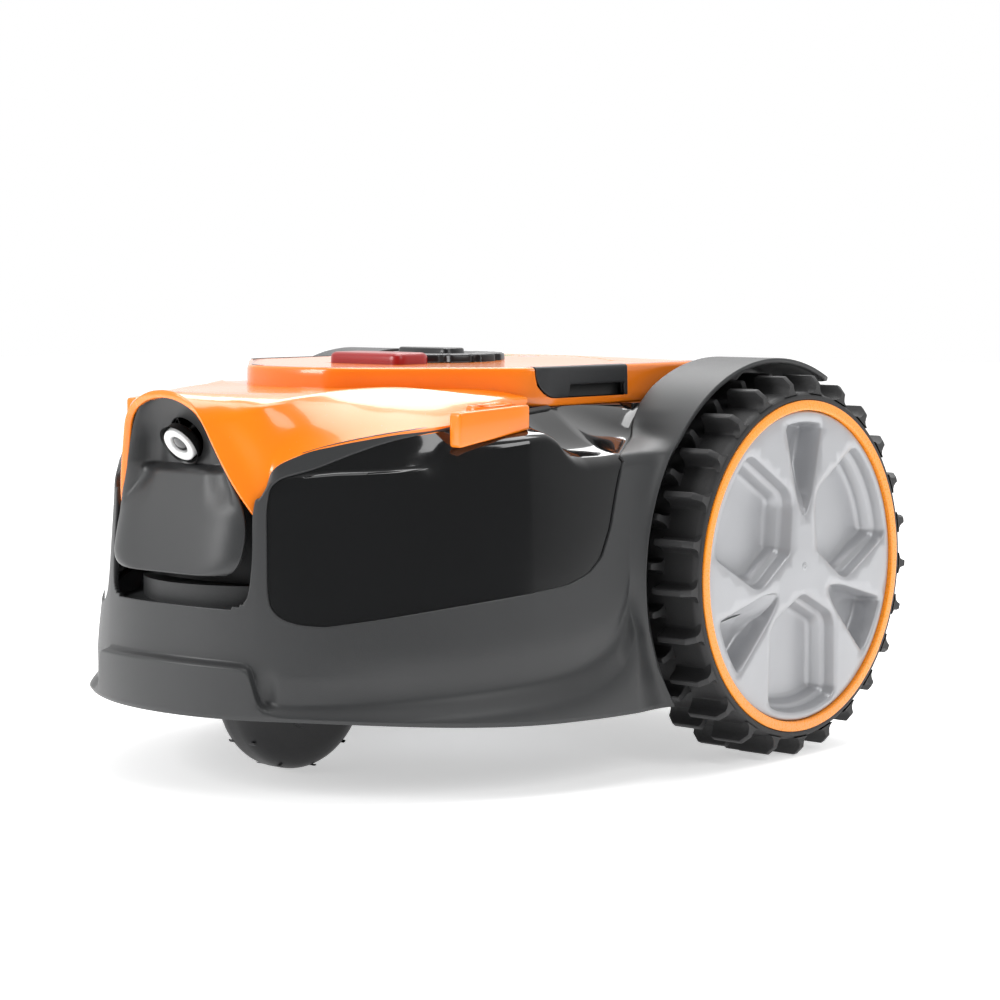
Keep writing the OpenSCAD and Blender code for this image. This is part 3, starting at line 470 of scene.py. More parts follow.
# the tyres get painted highlights on the convex edges of their lugs
material("tyre_rubber", (33, 33, 34), 0.58, grain=0.4, grain_scale=1100, vary=0.1, edge_highlight=0.35)
material("rim_plastic", (30, 30, 31), 0.5, grain=0.25)
material("hubcap_silver", (172, 173, 176), 0.34, metallic=0.3, grain=0.06, grain_scale=1800, wear=0.04,
         vary=0.04, coat=0.2, coat_rough=0.15)
material("trim_yellow", (255, 150, 26), 0.28, coat=0.4, coat_rough=0.08, grain=0.02, wear=0.01)
material("caster_plastic", (26, 26, 28), 0.42, grain=0.25)
record_slot = {row["node"]: row["material_slot"] for row in frame["record"]["subparts"]}
for name, ob in nodes.items():
    ob.data.materials.clear()
    ob.data.materials.append(M[record_slot[name]])

# ---- body side surface

AXLE_Y, AXLE_Z, ARCH_R = 103.0, 110.0, 119.0
HALF_W, FRONT_L, MID_Y = 176.0, 223.0, 3.0
PLAN_N = 2.04   # power of the plan's superellipse


def plan(s, d):
    """Point of the skirt's plan at angle s, drawn in by d; returns x and y."""
    s = np.radians(np.maximum(s, 1e-4))
    x = HALF_W * np.sin(s) ** (2 / PLAN_N)
    c = np.maximum(np.cos(s), 1e-9) ** (2 / PLAN_N)
    gx = (x / HALF_W) ** (PLAN_N - 1) / HALF_W
    gy = -c ** (PLAN_N - 1) / FRONT_L
    g = np.hypot(gx, gy)
    return x - d * gx / g, MID_Y - FRONT_L * c - d * gy / g


def angle_at(x):
    return math.degrees(math.asin((x / HALF_W) ** (PLAN_N / 2)))


# by plan angle: a point of the hood's edge, the shoulder's height, and how far the panel's top sags below a line
HOOD_EDGE = [(20.5, 57.6, -193.6, 160), (22, 60, -190, 173), (24, 63.7, -185, 179.7), (28, 72.4, -176.8, 184),
             (36, 85.6, -164, 188.8), (45, 103, -145.5, 193.6), (52.5, 114, -126, 196.4), (57, 118.5, -112, 197.8),
             (65, 121, -88, 200.5), (75, 119.5, -58, 203.3), (84, 118.6, -33, 205.2)]
SHOULDER = [(20, 160), (22, 165.5), (30, 167), (45, 168.5), (50, 169.8), (52.2, 173), (54.2, 180), (56.2, 185),
            (58, 187), (64, 190.3), (69.5, 192.4), (71.2, 190), (73, 182.5), (75, 177.6), (77, 176), (80, 176.2),
            (84, 177.5)]
SAG = [(20, 0), (25, 1.0), (32, 3.2), (48, 4.2), (53, 2), (57, 0.3), (70, 0.3), (73, 3), (80, 4.5), (84, 4.5)]
PANEL_END = 83.2


def wall_in(s, z):
    draft = smooth([(20, 0), (38, 0.06), (52, 0.06), (66, 0)], s)
    return 5.2 + (z - 70) * (0.062 + draft)


def hem_z(s):
    return smooth([(0, 44), (25, 44), (70, 38), (90, 38)], s)


def lip_top(s):
    """Top of the bumper lip. It drops at its end to a low flange, which climbs again beside the wheel arch."""
    return smooth([(0, 73), (40, 72.3), (55, 71.6), (58.6, 70.4), (60.8, 65.5), (62.2, 60), (64.5, 53), (68, 49.5),
                   (85, 47.5), (116, 46.8), (139, 48), (159, 50.3), (168, 53), (171.3, 56.5), (173.6, 64),
                   (174.6, 78), (174.95, 90)], plan(s, 0)[0])


def body_side(s, z):
    """Point of the body's side wall, for arrays of plan angle and height."""
    x = plan(s, 0)[0]
    zf = lip_top(s)
    # height over which the wall steps in above the lip
    w = smooth([(0, 1.6), (56, 1.6), (64, 2.2), (76, 4), (100, 6), (139, 8), (160, 10), (171, 15), (175, 24)], x)
    rise = step(-0.6, 1.0, (z - zf) / w)
    d = wall_in(s, np.maximum(z, 66)) * rise
    # hollow behind the end of the lip
    d = d + 1.8 * np.exp(-((x - 68.5) / 4.0) ** 2) * step(49.5, 54, z) * (1 - step(57, 72, z))
    # hollow above the flange
    d = d + 3.2 * np.exp(-((z - zf - 11) / 12.0) ** 2) * step(80, 135, x)
    # outward sweep to the wheel arch
    f = 0.5 * np.clip((s - 70) / 20, 0, 1) ** 2.2
    d = d * (1 - f) + 3.0 * f
    d = d + 1.2 * (1 - step(0, 1.5, z - hem_z(s)))
    return np.stack(plan(s, d) + (z,), axis=-1)


def body_section(s, lower, upper):
    """One column of the body surface from the hem to the hood's edge, with the height used for cutting."""
    hem, sh = float(hem_z(s)), float(smooth(SHOULDER, s))
    edge = smooth(HOOD_EDGE, s)
    zf = float(lip_top(np.array(s)))
    zs = np.concatenate([[hem, hem + 0.5, hem + 1.5], np.linspace(hem + 2.5, max(zf - 2.2, hem + 3), 3),
                         zf + np.linspace(-1.4, 9, 14)])
    zs = np.maximum.accumulate(zs)
    zs = np.concatenate([zs, np.linspace(zs[-1], sh - 5, lower)[1:]])
    wall = body_side(np.full(len(zs), s), zs)
    top = body_side(np.array([s]), np.array([sh]))[0]
    below = wall[-1]
    run = edge - top
    turn = top + run * min(0.3, 6.5 / max(np.linalg.norm(run), 1e-6))
    bend = [(1 - t) ** 2 * below + 2 * t * (1 - t) * top + t * t * turn for t in np.linspace(0, 1, 9)[1:]]
    sag = float(smooth(SAG, s))
    t = np.linspace(0, 1, upper)[1:]
    line = turn + (edge - turn) * t[:, None]
    line = line - np.array([0, 0, 1]) * (sag * np.sin(np.pi * t ** 0.9) ** 1.3)[:, None]
    heights = np.concatenate([zs, np.linspace(sh - 5, turn[2], 9)[1:], turn[2] + (edge[2] - turn[2]) * t])
    heights = np.maximum.accumulate(heights + np.arange(len(heights)) * 1e-5)
    return np.concatenate([wall, bend, line]), heights


columns = np.concatenate([np.linspace(0.0, 12, 10), np.linspace(13, 30, 86), np.linspace(30.4, 50, 42),
                          np.linspace(50.4, 76, 62), np.linspace(76.3, PANEL_END, 26)])
body, heights = [], []
for s in columns:
    c, h = body_section(s, 46, 26)
    body.append(c)
    heights.append(h)
body, heights = np.array(body), np.array(heights)
body_n = facing(grid_normals(body), (len(body) // 2, 20, 0))
S = np.repeat(columns[:, None], body.shape[1], 1)
NI, NJ = body.shape[:2]

# outline of the glossy panel, as plan angle and height
strip = [(22.3, 9), (26, 8), (31, 6), (38, 4), (46, 2.2), (56, 1.2), (84, 0.8)]
top_run = [(s, float(smooth(HOOD_EDGE, s)[2]) - float(smooth(strip, s))) for s in np.linspace(26, 84.5, 30)]
outline = ([(21.7, 112), (22.3, 102), (24.6, 96), (28, 93.4), (32, 92.6), (41.5, 96.6), (50, 100.6), (57, 103.6),
            (65, 107), (72, 110.4), (75.8, 115.5), (78.3, 124), (80.2, 140), (81.6, 160), (82.7, 173), (84.5, 180)]
           + top_run[::-1] + [(23.2, top_run[0][1] - 3.4), (21.9, 166), (21.3, 155)])
SX = 3.0   # mm along the wall for each degree of plan angle
outline = fillet([(a * SX, b) for a, b in outline], [4.0 if 20 < a < 27 else 2.5 for a, b in outline], 4,
                 closed=True)
field_panel = poly_distance(outline, np.stack([S.ravel() * SX, heights.ravel()], 1))

# opening of the nose: sill with rounded corners, then the inner side of each pillar
x_body = body[..., 0].ravel()
z_body = heights.ravel()
pillar = smooth([(88, 40), (100, 45), (101.5, 50), (104, 52.6), (108, 54.2), (116, 55.3), (130, 55.8), (150, 55.2),
                 (163, 57), (190, 62)], z_body)
sill = smooth([(0, 100.3), (40, 100.3), (47, 101.0), (52, 103.5), (56, 110)], np.minimum(x_body, 56))
field_open = np.where((z_body > sill) & (x_body < 60), x_body - pillar, 50.0)
field_open = np.where(x_body < 56, np.maximum(field_open, sill - z_body), field_open)
field_open = np.clip(field_open, -30, 50)

faces = grid_faces(NI, NJ)
flat = body.reshape(-1, 3)
flat_n = body_n.reshape(-1, 3)

# skirt: everything outside the panel and the nose opening
v, f, (n, fo) = clip(flat, faces, -field_panel, (flat_n, field_open))
v, f, (n,) = clip(v, f, fo, (n,))

# sweep and band over the wheel, from the end of the body to the arch's open edge
INNER_BAND = [(178.7, 163.2, -27.5), (181, 155.5, -14), (183.5, 148.5, -2), (186.5, 142.5, 9.5), (190, 138.5, 14.9),
              (194, 136, 18.7), (200, 133, 25.1), (208, 130.5, 35.2), (213, 129.3, 43.4)]


def arch_point(x, z):
    return (x, AXLE_Y - math.sqrt(max(ARCH_R ** 2 - (z - AXLE_Z) ** 2, 0)), z)


last, last_h = body[-1], heights[-1]
JOIN_Z = 178.7   # up to here the sweep starts from the body's last column
nl = sum(last_h <= JOIN_Z)
starts = list(last[:nl])
for z in np.linspace(180, 213, 20):
    q = smooth(INNER_BAND, z)
    starts.append(np.array([q[0], q[1], z]))
EDGE_X = 172.4   # the arch's open edge; it flares a little below z 60
ends = [np.array(arch_point(EDGE_X + (1.6 * (60 - p[2]) / 22 if p[2] <= 60 else 0), p[2])) for p in starts]
# over the top and down to the tail
phi0 = math.degrees(math.asin((213 - AXLE_Z) / ARCH_R))
for phi in np.linspace(phi0, 116, 34)[1:]:
    y, z = AXLE_Y - ARCH_R * math.cos(math.radians(phi)), AXLE_Z + ARCH_R * math.sin(math.radians(phi))
    starts.append(np.array([129.2, y, z]))
    ends.append(np.array([EDGE_X, y, z]))
starts, ends = np.array(starts), np.array(ends)
blend_t = np.linspace(0, 1, 15)
tangent = unit(body[-1] - body[-3])
band = []
for k in range(len(starts)):
    a, b = starts[k], ends[k]
    L = np.linalg.norm(b - a)
    if k < nl:
        ta = tangent[k] * L
        w = 1.0
    else:
        w = max(0.0, 1 - (k - nl) / 12)
        ta = tangent[nl - 1] * L * w + (b - a) * (1 - w)
    tb = (b - a) * (1 - 0.55 * w) + np.array([0.9, 0.15, 0]) * L * 0.55 * w
    row = []
    for t in blend_t:
        row.append((2 * t ** 3 - 3 * t * t + 1) * a + (t ** 3 - 2 * t * t + t) * ta
                   + (3 * t * t - 2 * t ** 3) * b + (t ** 3 - t * t) * tb)
    band.append(row)
band = np.array(band)
# above the shoulder the band keeps to the round of the arch at its outer half
for k in range(nl + 8, len(band)):
    for m in range(band.shape[1]):
        p = band[k, m]
        r = math.hypot(p[1] - AXLE_Y, p[2] - AXLE_Z)
        if r > ARCH_R:
            band[k, m, 1:] = np.array([AXLE_Y, AXLE_Z]) + (p[1:] - [AXLE_Y, AXLE_Z]) * ARCH_R / r
band = band.transpose(1, 0, 2)
band_n = facing(grid_normals(band), (7, 40, 0))


def with_grid(verts, faces, normals, grid, grid_n):
    """A mesh with a grid welded to it."""
    more = [[i + len(verts) for i in q] for q in grid_faces(grid.shape[0], grid.shape[1])]
    v, f, n = weld(np.concatenate([verts, grid.reshape(-1, 3)]), [list(q) for q in faces] + more,
                   np.concatenate([normals, grid_n.reshape(-1, 3)]), 0.02)
    return v, f, unit(n)


v2, f2, n2 = with_grid(v, f, n, band, band_n)
SKIRT_RIM = [(0.1, 0.0), (0.42, 0.12), (0.64, 0.4), (0.72, 0.9), (0.72, 2.6), (0.0, 3.0)]


def off_centre(a, b):
    """False for an edge on the mower's middle plane, where the two halves meet."""
    return not (abs(a[0]) < 0.5 and abs(b[0]) < 0.5)


v3, f3 = roll_rims(v2, f2, n2, SKIRT_RIM, keep=off_centre)
skirt = Mesh()
skirt.add(v3, f3)

# inside of the wheel arch: a drum with its inner wall
well = Mesh()
phis = np.radians(np.linspace(-36.5, 116, 90))
prof = [(172.3, ARCH_R - 2.2), (171.6, 115.9), (170, 115.6), (134, 115.4), (133, 115.0), (132.5, 114), (132.5, 60),
        (132.5, 12), (129.4, 12)]
well.grid([[(x, AXLE_Y - r * math.cos(p), AXLE_Z + r * math.sin(p)) for x, r in prof] for p in phis])
angles = np.radians(np.linspace(0, 360, 121)[:-1])
disc = [(AXLE_Y - 118.0 * math.cos(p), AXLE_Z + 118.0 * math.sin(p)) for p in angles]
disc = [(min(y, 219.0), max(z, 44.6)) for y, z in disc]
well.loops([[(x, AXLE_Y + (y - AXLE_Y) * k, AXLE_Z + (z - AXLE_Z) * k) for y, z in disc]
            for x, k in ((132.4, 0.1), (132.4, 1.0), (129.3, 1.0), (129.3, 0.1))])
skirt.join(well)
skirt.mirrored()
skirt.make("skirt_shell", "frame", "skirt_plastic", ("skirt", "wheel_arch_left", "wheel_arch_right"), weld=0.02)

# ---- glossy side panels

v, f, (n,) = clip(flat, faces, field_panel - 0.12, (flat_n,))
# top of the panel behind the body columns: between the band over the wheel and the hood
col = last[np.searchsorted(last_h, JOIN_Z):]
rear = [col]
for t in np.linspace(0, 1, 26)[1:]:
    z = JOIN_Z + (210.5 - JOIN_Z) * t
    a3 = smooth(INNER_BAND, z)
    a = np.array([a3[0], a3[1], z])
    e_y = -33 + (a[1] + 12 + 33) * t
    e = np.array([118.6, e_y, 205.2 + 0.6 * t])
    w = np.linspace(0, 1, len(col))
    base0 = col - (col[0] + (col[-1] - col[0]) * w[:, None])
    line = a + (e - a) * w[:, None]
    rear.append(line + base0 * (1 - t))
rear = np.array(rear)
rear_n = facing(grid_normals(rear), (3, 5, 2))
v2, f2, n2 = with_grid(v, f, n, rear, rear_n)
PANEL_INSET = 1.4
v3, f3 = roll_rims(v2 - n2 * PANEL_INSET, f2, n2, [(0.08, 0.0), (0.18, 0.06), (0.24, 0.2), (0.24, 2.2)])
panel = Mesh()
panel.add(v3, f3)
panel.make("side_panel_l", "frame", "panel_gloss", ("side_panel_left",), weld=0.02)
panel.other_side().make("side_panel_r", "frame", "panel_gloss", ("side_panel_right",), weld=0.02)

strips = Mesh()
for sx in (-1, 1):
    q = round_rect(sx * 123.85, 66, 10.3, 79, 1.5, 5, 1)
    strips.stack(q, [(199.2, 0), (204.0, 0), (204.5, -0.2), (204.7, -0.7), (204.75, -1.3)], cap_first=True, cap_last=True)
strips.make("panel_strips", "frame", "panel_gloss", sharp=40, outward=True)

# ---- hood

# sections of the hood from its nose back: each runs from the outer edge up to the middle
COWL = [
    [(54, -195.6, 150), (46.5, -202.5, 165), (38.5, -207.5, 183), (31.5, -211.5, 200),
     (26, -212, 207.5), (18, -212, 212.5), (9, -212, 215.4), (0, -212, 216)],
    [(56.5, -193, 151), (52, -195, 168), (44, -200, 186), (37, -205, 202),
     (30, -205, 209), (20, -205, 213), (9, -205, 215), (0, -205, 215.6)],
    [(58.4, -190.8, 166), (57, -189.6, 180), (51, -194, 194), (45, -197, 204.5),
     (36, -197, 210), (24, -197, 213), (11, -197, 214.7), (0, -197, 215)],
    [(61.5, -188, 177), (60.5, -184, 188), (57.5, -184, 199), (53, -186, 208.5),
     (42, -186, 211.8), (28, -186, 213.5), (13, -186, 214.4), (0, -186, 214.6)],
    [(72.4, -176.8, 184), (69.5, -171, 194), (63.5, -168, 203), (55, -166, 211.8),
     (44, -166, 213.4), (30, -166, 214), (15, -166, 214.3), (0, -166, 214.4)],
    [(85.6, -164, 188.8), (79.5, -156, 198), (69, -150, 206.5), (56, -147, 214),
     (45, -147, 214.3), (30, -147, 214.4), (15, -147, 214.5), (0, -147, 214.5)],
    [(103, -145.5, 193.6), (93.5, -136.5, 202), (77, -130, 210), (58, -124, 215.6),
     (46, -126, 215), (30, -128, 214.7), (15, -130, 214.6), (0, -131, 214.6)],
    [(117, -120, 197), (109.5, -111.5, 204), (94, -106, 211), (74, -102, 216),
     (60, -108, 215.5), (40, -114, 215), (20, -118, 215), (0, -120, 215)],
    [(122, -90, 200), (121, -86, 205), (117, -82, 209), (110, -80, 212),
     (90, -86, 214.5), (60, -92, 215), (30, -98, 215), (0, -100, 215)],
    [(119, -58, 203), (118.8, -55, 205.5), (118, -52, 208), (116, -50, 210),
     (95, -56, 214), (60, -62, 215), (30, -68, 215), (0, -70, 215)],
]
HOOD_RIM = [(0.1, 0.0), (0.45, 0.12), (0.72, 0.45), (0.85, 1.0), (0.85, 3.2), (0.6, 3.8), (0, 4.1), (-4, 4.2)]
rows = spline(np.array(COWL, float), 8)
hood_grid = []
for k, r in enumerate(rows):
    t = k / 8
    crease = float(smooth([(0, 5), (1.5, 4), (3, 2.4), (9, 2.2)], t))
    hood_grid.append(fillet(list(r), [0, 9, 9, crease, 5, 6, 6, 0], 6, fill=2))
hood_grid = np.array(hood_grid)
hn = facing(grid_normals(hood_grid), (20, 10, 2))
hv, hf = hood_grid.reshape(-1, 3), grid_faces(hood_grid.shape[0], hood_grid.shape[1])
hv, hf, hnn = weld(hv, hf, hn.reshape(-1, 3), 0.02)
hv, hf = roll_rims(hv, wound(hv, hf, hnn, 900), unit(hnn), HOOD_RIM, keep=off_centre)
hood = Mesh()
hood.add(hv, hf)
hood.mirrored()

DECK_W, DECK_Z = 118.0, 226.0
front = spline([(-20, -121.5), (0, -123), (20, -121.5), (36, -116.5), (56, -99), (79, -76), (100, -56.5), (113, -44),
                (117.6, -33), (118, -20), (118, 0)], 6)[6:]
side = fillet([(118, 0), (118, 107), (0, 107)], [0, 3, 0], 6, fill=12)[1:-13]
half = np.concatenate([front[1:], side])
deck_outline = np.concatenate([half[::-1] * [-1, 1], front[:1], half])


def plate(outer, holes, top, rim=0.5, depth=3.0, spacing=8.0):
    """A flat or crowned plate with holes; each hole gets a rounded edge and a wall. top gives z."""
    loops = [np.asarray(outer, float)] + [np.asarray(h, float) for h in holes]
    pts, edges = [], []
    for q in loops:
        b = len(pts)
        pts += [Vector(p) for p in q]
        edges += [(b + i, b + (i + 1) % len(q)) for i in range(len(q))]
    lo, hi = loops[0].min(0), loops[0].max(0)
    gx, gy = np.meshgrid(*(np.arange(lo[k] + spacing / 2, hi[k], spacing) for k in (0, 1)))
    g = np.stack([gx.ravel(), gy.ravel()], 1)
    ok = poly_distance(loops[0], g) > spacing * 0.3
    for h in loops[1:]:
        ok &= poly_distance(h, g) < -spacing * 0.3
    pts += [Vector(p) for p in g[ok]]
    vv, _, ff, _, _, _ = geometry.delaunay_2d_cdt(pts, edges, [], 0, 1e-5)
    c = np.array([[sum(vv[i][k] for i in f) / len(f) for k in (0, 1)] for f in ff])
    keep = poly_distance(loops[0], c) > 0
    for h in loops[1:]:
        keep &= poly_distance(h, c) < 0
    m = Mesh()
    out = []
    for f, ok in zip(ff, keep):
        if ok:
            a, b, d = (np.array(vv[i]) for i in f[:3])
            up = (b[0] - a[0]) * (d[1] - a[1]) - (b[1] - a[1]) * (d[0] - a[0]) > 0
            out.append(list(f if up else reversed(f)))
    m.add([(q[0], q[1], top(q[0], q[1])) for q in vv], out)
    for h in loops[1:]:
        zs = np.array([top(*q) for q in h])[:, None]
        edge = [(0.3, rim * 0.15), (0.8, rim * 0.7), (1, rim * 1.3), (1, depth)]
        m.loops(([np.concatenate([h, zs], 1)]
                 + [np.concatenate([offset(h, -rim * o), zs - d], 1) for o, d in edge])[::-1])
    return m


def crown(x, y):
    return DECK_Z + 2.2 * float(step(-20, 70, y)) * (1 - (x / 118) ** 2) * (1 - 0.35 * float(step(85, 108, y)))


STOP_Y, KNOB_Y, KEY_Y = -47.0, 7.0, 62.0
levels = [(204.4, -1.2), (204.9, -0.3), (205.6, 0.0), (210, -0.1), (216, -0.25), (221, -0.4), (224.0, -0.6),
          (224.9, -0.85), (225.6, -1.4), (225.95, -2.1)]
wall_loops = [lift(offset(deck_outline, d), z) for z, d in levels]
inner_loop = offset(deck_outline, -3.0)
wall_loops.append(np.concatenate([inner_loop, np.array([[crown(*q)] for q in inner_loop])], 1))
SLOT_PITCH = 8.0
slots = [round_rect(x, 86 - 0.0037 * x * x, 3.2, 5.4, 1.5, 4, 0) for x in np.arange(-11, 12) * SLOT_PITCH]
holes = ([round_rect(0, STOP_Y, 59.4, 29.4, 7.6), circle(0, KNOB_Y, 16)]
         + [circle(x, KEY_Y, 6.8, 32) for x in (-20, 0, 20)] + slots)
top_plate = plate(inner_loop, holes, crown)
deck = Mesh()
deck.loops(wall_loops)
deck.join(top_plate)

LATCH = fillet([(-41.2, 240), (-41.2, 208.7), (35.4, 208.7), (35.4, 240)], [1, 13.4, 1.5, 1], 8, closed=True)


def tuck(y):
    """How far the deck's side lies inside its widest part, towards its rounded corner."""
    return smooth([(-50, -10.5), (-44, -4.9), (-38, -1.8), (-32, -0.3), (-26, 0), (40, 0)], y)


dv = np.array(deck.v)
reach = np.abs(dv[:, 0]) - tuck(dv[:, 1])
POCKET_X = 113.2
lf = np.where(reach > POCKET_X, -poly_distance(LATCH, dv[:, 1:3]), 5.0)
lf = np.where((reach <= POCKET_X) & (dv[:, 1] > -41.2) & (dv[:, 1] < 35.4), np.maximum(0.3, POCKET_X - reach), lf)
dv, df, _ = clip(dv, deck.f, lf)
hood.add(dv, df)


def bar_section(y, grow=0.0, shift=0.0):
    t = (y + 125) / 47
    xo, zb, zt = 133.5 + 8.5 * t, 186 + 8.4 * t, 204.6 + 3.2 * t
    x, z = xo - 4.2, (zb + zt) / 2
    q = round_rect(x, z, 8.4 + 2 * grow, zt - zb + 2 * grow, 1.8, 5, 1)
    return [(a, y + 1.5 + shift, b) for a, b in q]


bar = Mesh()
bar.loops([bar_section(-123.2, -1.6, -1.6), bar_section(-123.2, -0.7, -1.4), bar_section(-123.2, -0.15, -0.7)]
          + [bar_section(y) for y in np.linspace(-123.2, -79.6, 8)]
          + [bar_section(-79.6, -0.15, 0.7), bar_section(-79.6, -0.7, 1.3), bar_section(-79.6, -1.6, 1.5)],
          cap_first=True, cap_last=True)
# shelf that joins the bar to the hood, with a screw boss in front of it
shelf = [(117, -73), (117, -101), (120, -103), (126, -103), (133, -98), (136.5, -83), (134.5, -78.5), (127, -75)]
shelf = fillet(shelf, [1, 3, 4, 5, 4, 3, 4, 4], 5, closed=True, fill=1)
boss = circle(125, -97, 4.4, 32)


def shelf_z(x, y):
    return 207.6 + 0.05 * (y + 100) - 0.04 * (x - 117)


top_of_shelf = plate(offset(shelf, -1.2), [boss], shelf_z, depth=5.5, spacing=5)
bar.join(top_of_shelf)
bar.loops([[(x, y, shelf_z(x, y) - d) for x, y in offset(shelf, o)]
           for o, d in [(0, 8), (0, 1.4), (-0.3, 0.55), (-1.2, 0)]])
hood.join(bar)
hood.join(bar.other_side())
hood.make("hood_shell", "frame", "hood_plastic", ("hood",), weld=0.02)

screw = Mesh()
SCREW_R, SCREW_Z = 3.9, 203.2
for sx in (-1, 1):
    screw.loops([lift(circle(125, -97, SCREW_R + d, 24) * [sx, 1], SCREW_Z + z)
                 for d, z in ((-0.6, 0), (0, -0.5), (0, -3))], cap_first=True)
screw.make("side_screws", "frame", "fastener_steel", outward=True)

# ---- latches


def latch_foot(y):
    base = 209.2
    if y < -27.8:
        base = 222.2 - math.sqrt(max(169 - (y + 27.8) ** 2, 0))
    notch = float(step(-17.6, -15.6, y)) * (1 - float(step(32.4, 33.2, y)))
    return base + 7.0 * notch


latch = []
for y in stations((-40.7, -28, 22), (-27, -19, 5), (-17.8, -15.4, 10), (-14, 32, 12), (32.3, 33.3, 8),
                  (34.2, 34.9, 2)):
    zb = latch_foot(y)
    p = fillet([(118.35, zb), (117.95, 226.0), (113.6, 226.35)], [0, 1.6, 0], 6, fill=6)
    latch.append([(a + float(tuck(y)), y, b) for a, b in p])
latch = np.array(latch)
ln = facing(grid_normals(latch), (10, 2, 0)).reshape(-1, 3)
lv = latch.reshape(-1, 3)
lf = wound(lv, grid_faces(latch.shape[0], latch.shape[1]), ln, 5)
cover = Mesh()
cover.add(*roll_rims(lv, lf, ln, [(0.15, 0.08), (0.28, 0.3), (0.3, 0.6), (0.3, 2.0), (-1.5, 2.1)]))
for side, m in (("left", cover), ("right", cover.other_side())):
    m.make("latch_cover_" + side, "latch_" + side, "latch_black", ("latch_" + side,), weld=0.005)
pocket = Mesh()
for sx in (-1, 1):
    q = fillet([(-41.0, 225.4), (-41.0, 208.9), (35.2, 208.9), (35.2, 225.4)], [0.5, 13, 1, 0.5], 6, closed=True)
    pocket.loops([[(sx * (x + float(tuck(a))), a, b) for a, b in offset(q, d)]
                  for x, d in [(117.2, 0.2), (113.4, 0.2), (113.0, -0.4)]], cap_last=True)
pocket.make("latch_wells", "frame", "latch_black", finish="socket_black")

# ---- stop button, knob, keys

stop = Mesh()
sq = round_rect(0, STOP_Y, 58, 28, 7.5, 8, 2)
stop.stack(sq, [(223.6, 0), (228, -0.1), (230.4, -0.25), (231.1, -0.6), (232.1, -1.9), (232.4, -2.9), (232.55, -4.5),
                (232.6, -6.8)], cap_last=True)
stop.f = turned_over(stop.f)
stop.make("stop_cap", "stop_button", "stop_red", ("stop_button",), outward=True)

knob = Mesh()
ka = turns(288)


def knob_r(a):
    w = np.abs(((np.degrees(a) / 30.0 + 0.5) % 1) - 0.5) * 2
    return 36.9 - 2.3 * step(0.55, 1.0, w)


kr = knob_r(ka)
# height, how much of the teeth is left, and what is added to the radius
kl = [[((r * k + d) * math.cos(a), KNOB_Y + (r * k + d) * math.sin(a), z) for a, r in zip(ka, kr)]
      for z, k, d in [(226.35, 1, 0.25), (226.6, 1, 0), (229.6, 1, -0.1), (230.5, 1, -0.45), (230.95, 1, -1.2),
                      (231.1, 1, -2.2), (231.1, 0.5, 14), (231.0, 0, 20), (230.3, 0, 18), (230.3, 0, 6)]]
knob.loops(kl, cap_first=True, cap_last=True)
grip = fillet([(-34, -3.2), (-34, 3.2), (-12, 8.5), (11, 9), (13, 0), (11, -9), (-12, -8.5)],
              [3, 3, 10, 5, 5, 5, 10], 7, closed=True, fill=1)
grip[:, 1] += KNOB_Y
knob.stack(grip, [(229.8, 1.2), (230.6, 0.5), (231.6, 0.0), (233.0, -0.2), (233.6, -0.7), (233.9, -1.6), (233.95, -3.0)],
           cap_last=True)
knob.loops([lift(circle(0, KNOB_Y, 9), z) for z in (226.5, 214)], cap_last=True)
knob.make("knob_top", "height_knob", "knob_black", ("height_knob",), sharp=38, outward=True)

for name, x, slot in (("power", -20, "key_black"), ("start", 0, "key_green"), ("home", 20, "key_grey")):
    m = Mesh()
    m.loops([lift(circle(x, KEY_Y, 6.0 + d), crown(x, KEY_Y) + z)
             for z, d in [(-8.5, 0), (-0.7, 0), (-0.2, -0.3), (0.05, -0.9), (0.0, -2.0), (-0.2, -4.2)]],
            cap_first=True, cap_last=True)
    m.make("key_cap_" + name, "key_" + name, slot, ("key_" + name,), outward=True)

# ---- snout face and camera

# by height: half width, then how far forward the middle and the border stand
FACE_W = [(119, 42), (120.5, 45.5), (123.5, 48.4), (128, 50.2), (138, 50.8), (148, 49.4), (158, 46.2), (170, 40.2),
          (186, 33.0), (198, 27.4), (206, 21.5), (210, 15), (212, 9)]
MID = [(119, -212.5), (124, -211.6), (169, -200.2), (172.5, -199.0), (174.4, -194.0), (176, -191.8), (186, -193.4),
       (211, -206.0)]
EDGE = [(119, -206.5), (148, -200.5), (170, -203), (186, -206), (211, -209.5)]
face = []
for z in stations((119, 124, 9), (124, 175, 30), (175, 181, 13), (181, 212, 26)):
    w, mid, ed = (float(smooth(k, z)) for k in (FACE_W, MID, EDGE))
    row = []
    for t in np.linspace(-1, 1, 61):
        a = abs(t)
        # flat middle, hollows beside the camera, raised border
        e = a ** (6 if z < 174 else 5)
        y = mid + (ed - mid) * e
        hollow = (3.6 * step(0.45, 0.8, a) * (1 - step(0.86, 0.97, a)) * step(150, 168, z)
                  * (1 - step(184, 200, z)))
        row.append((w * t, y + hollow, z))
    face.append(row)
face = np.array(face)
fn = facing(grid_normals(face), (20, 30, 1), -1)
fv, ff = face.reshape(-1, 3), grid_faces(face.shape[0], face.shape[1])
LENS = np.array([0, -200.5, 186.0])
AX = np.array([0, -math.cos(math.radians(35)), -math.sin(math.radians(35))])
UP = np.array([0, -math.sin(math.radians(35)), math.cos(math.radians(35))])
rel = fv - LENS
lens_d = np.hypot(rel[:, 0], rel @ UP) - 12.2
fv, ff, (fnn,) = clip(fv, ff, lens_d, (fn.reshape(-1, 3),))
fv, ff, fnn = weld(fv, wound(fv, ff, fnn, 50), fnn, 0.02)
fv, ff = roll_rims(fv, ff, unit(fnn), [(0.35, 0.12), (0.65, 0.5), (0.7, 1.0), (0.7, 3.0), (-1.5, 3.1)])
snout = Mesh()
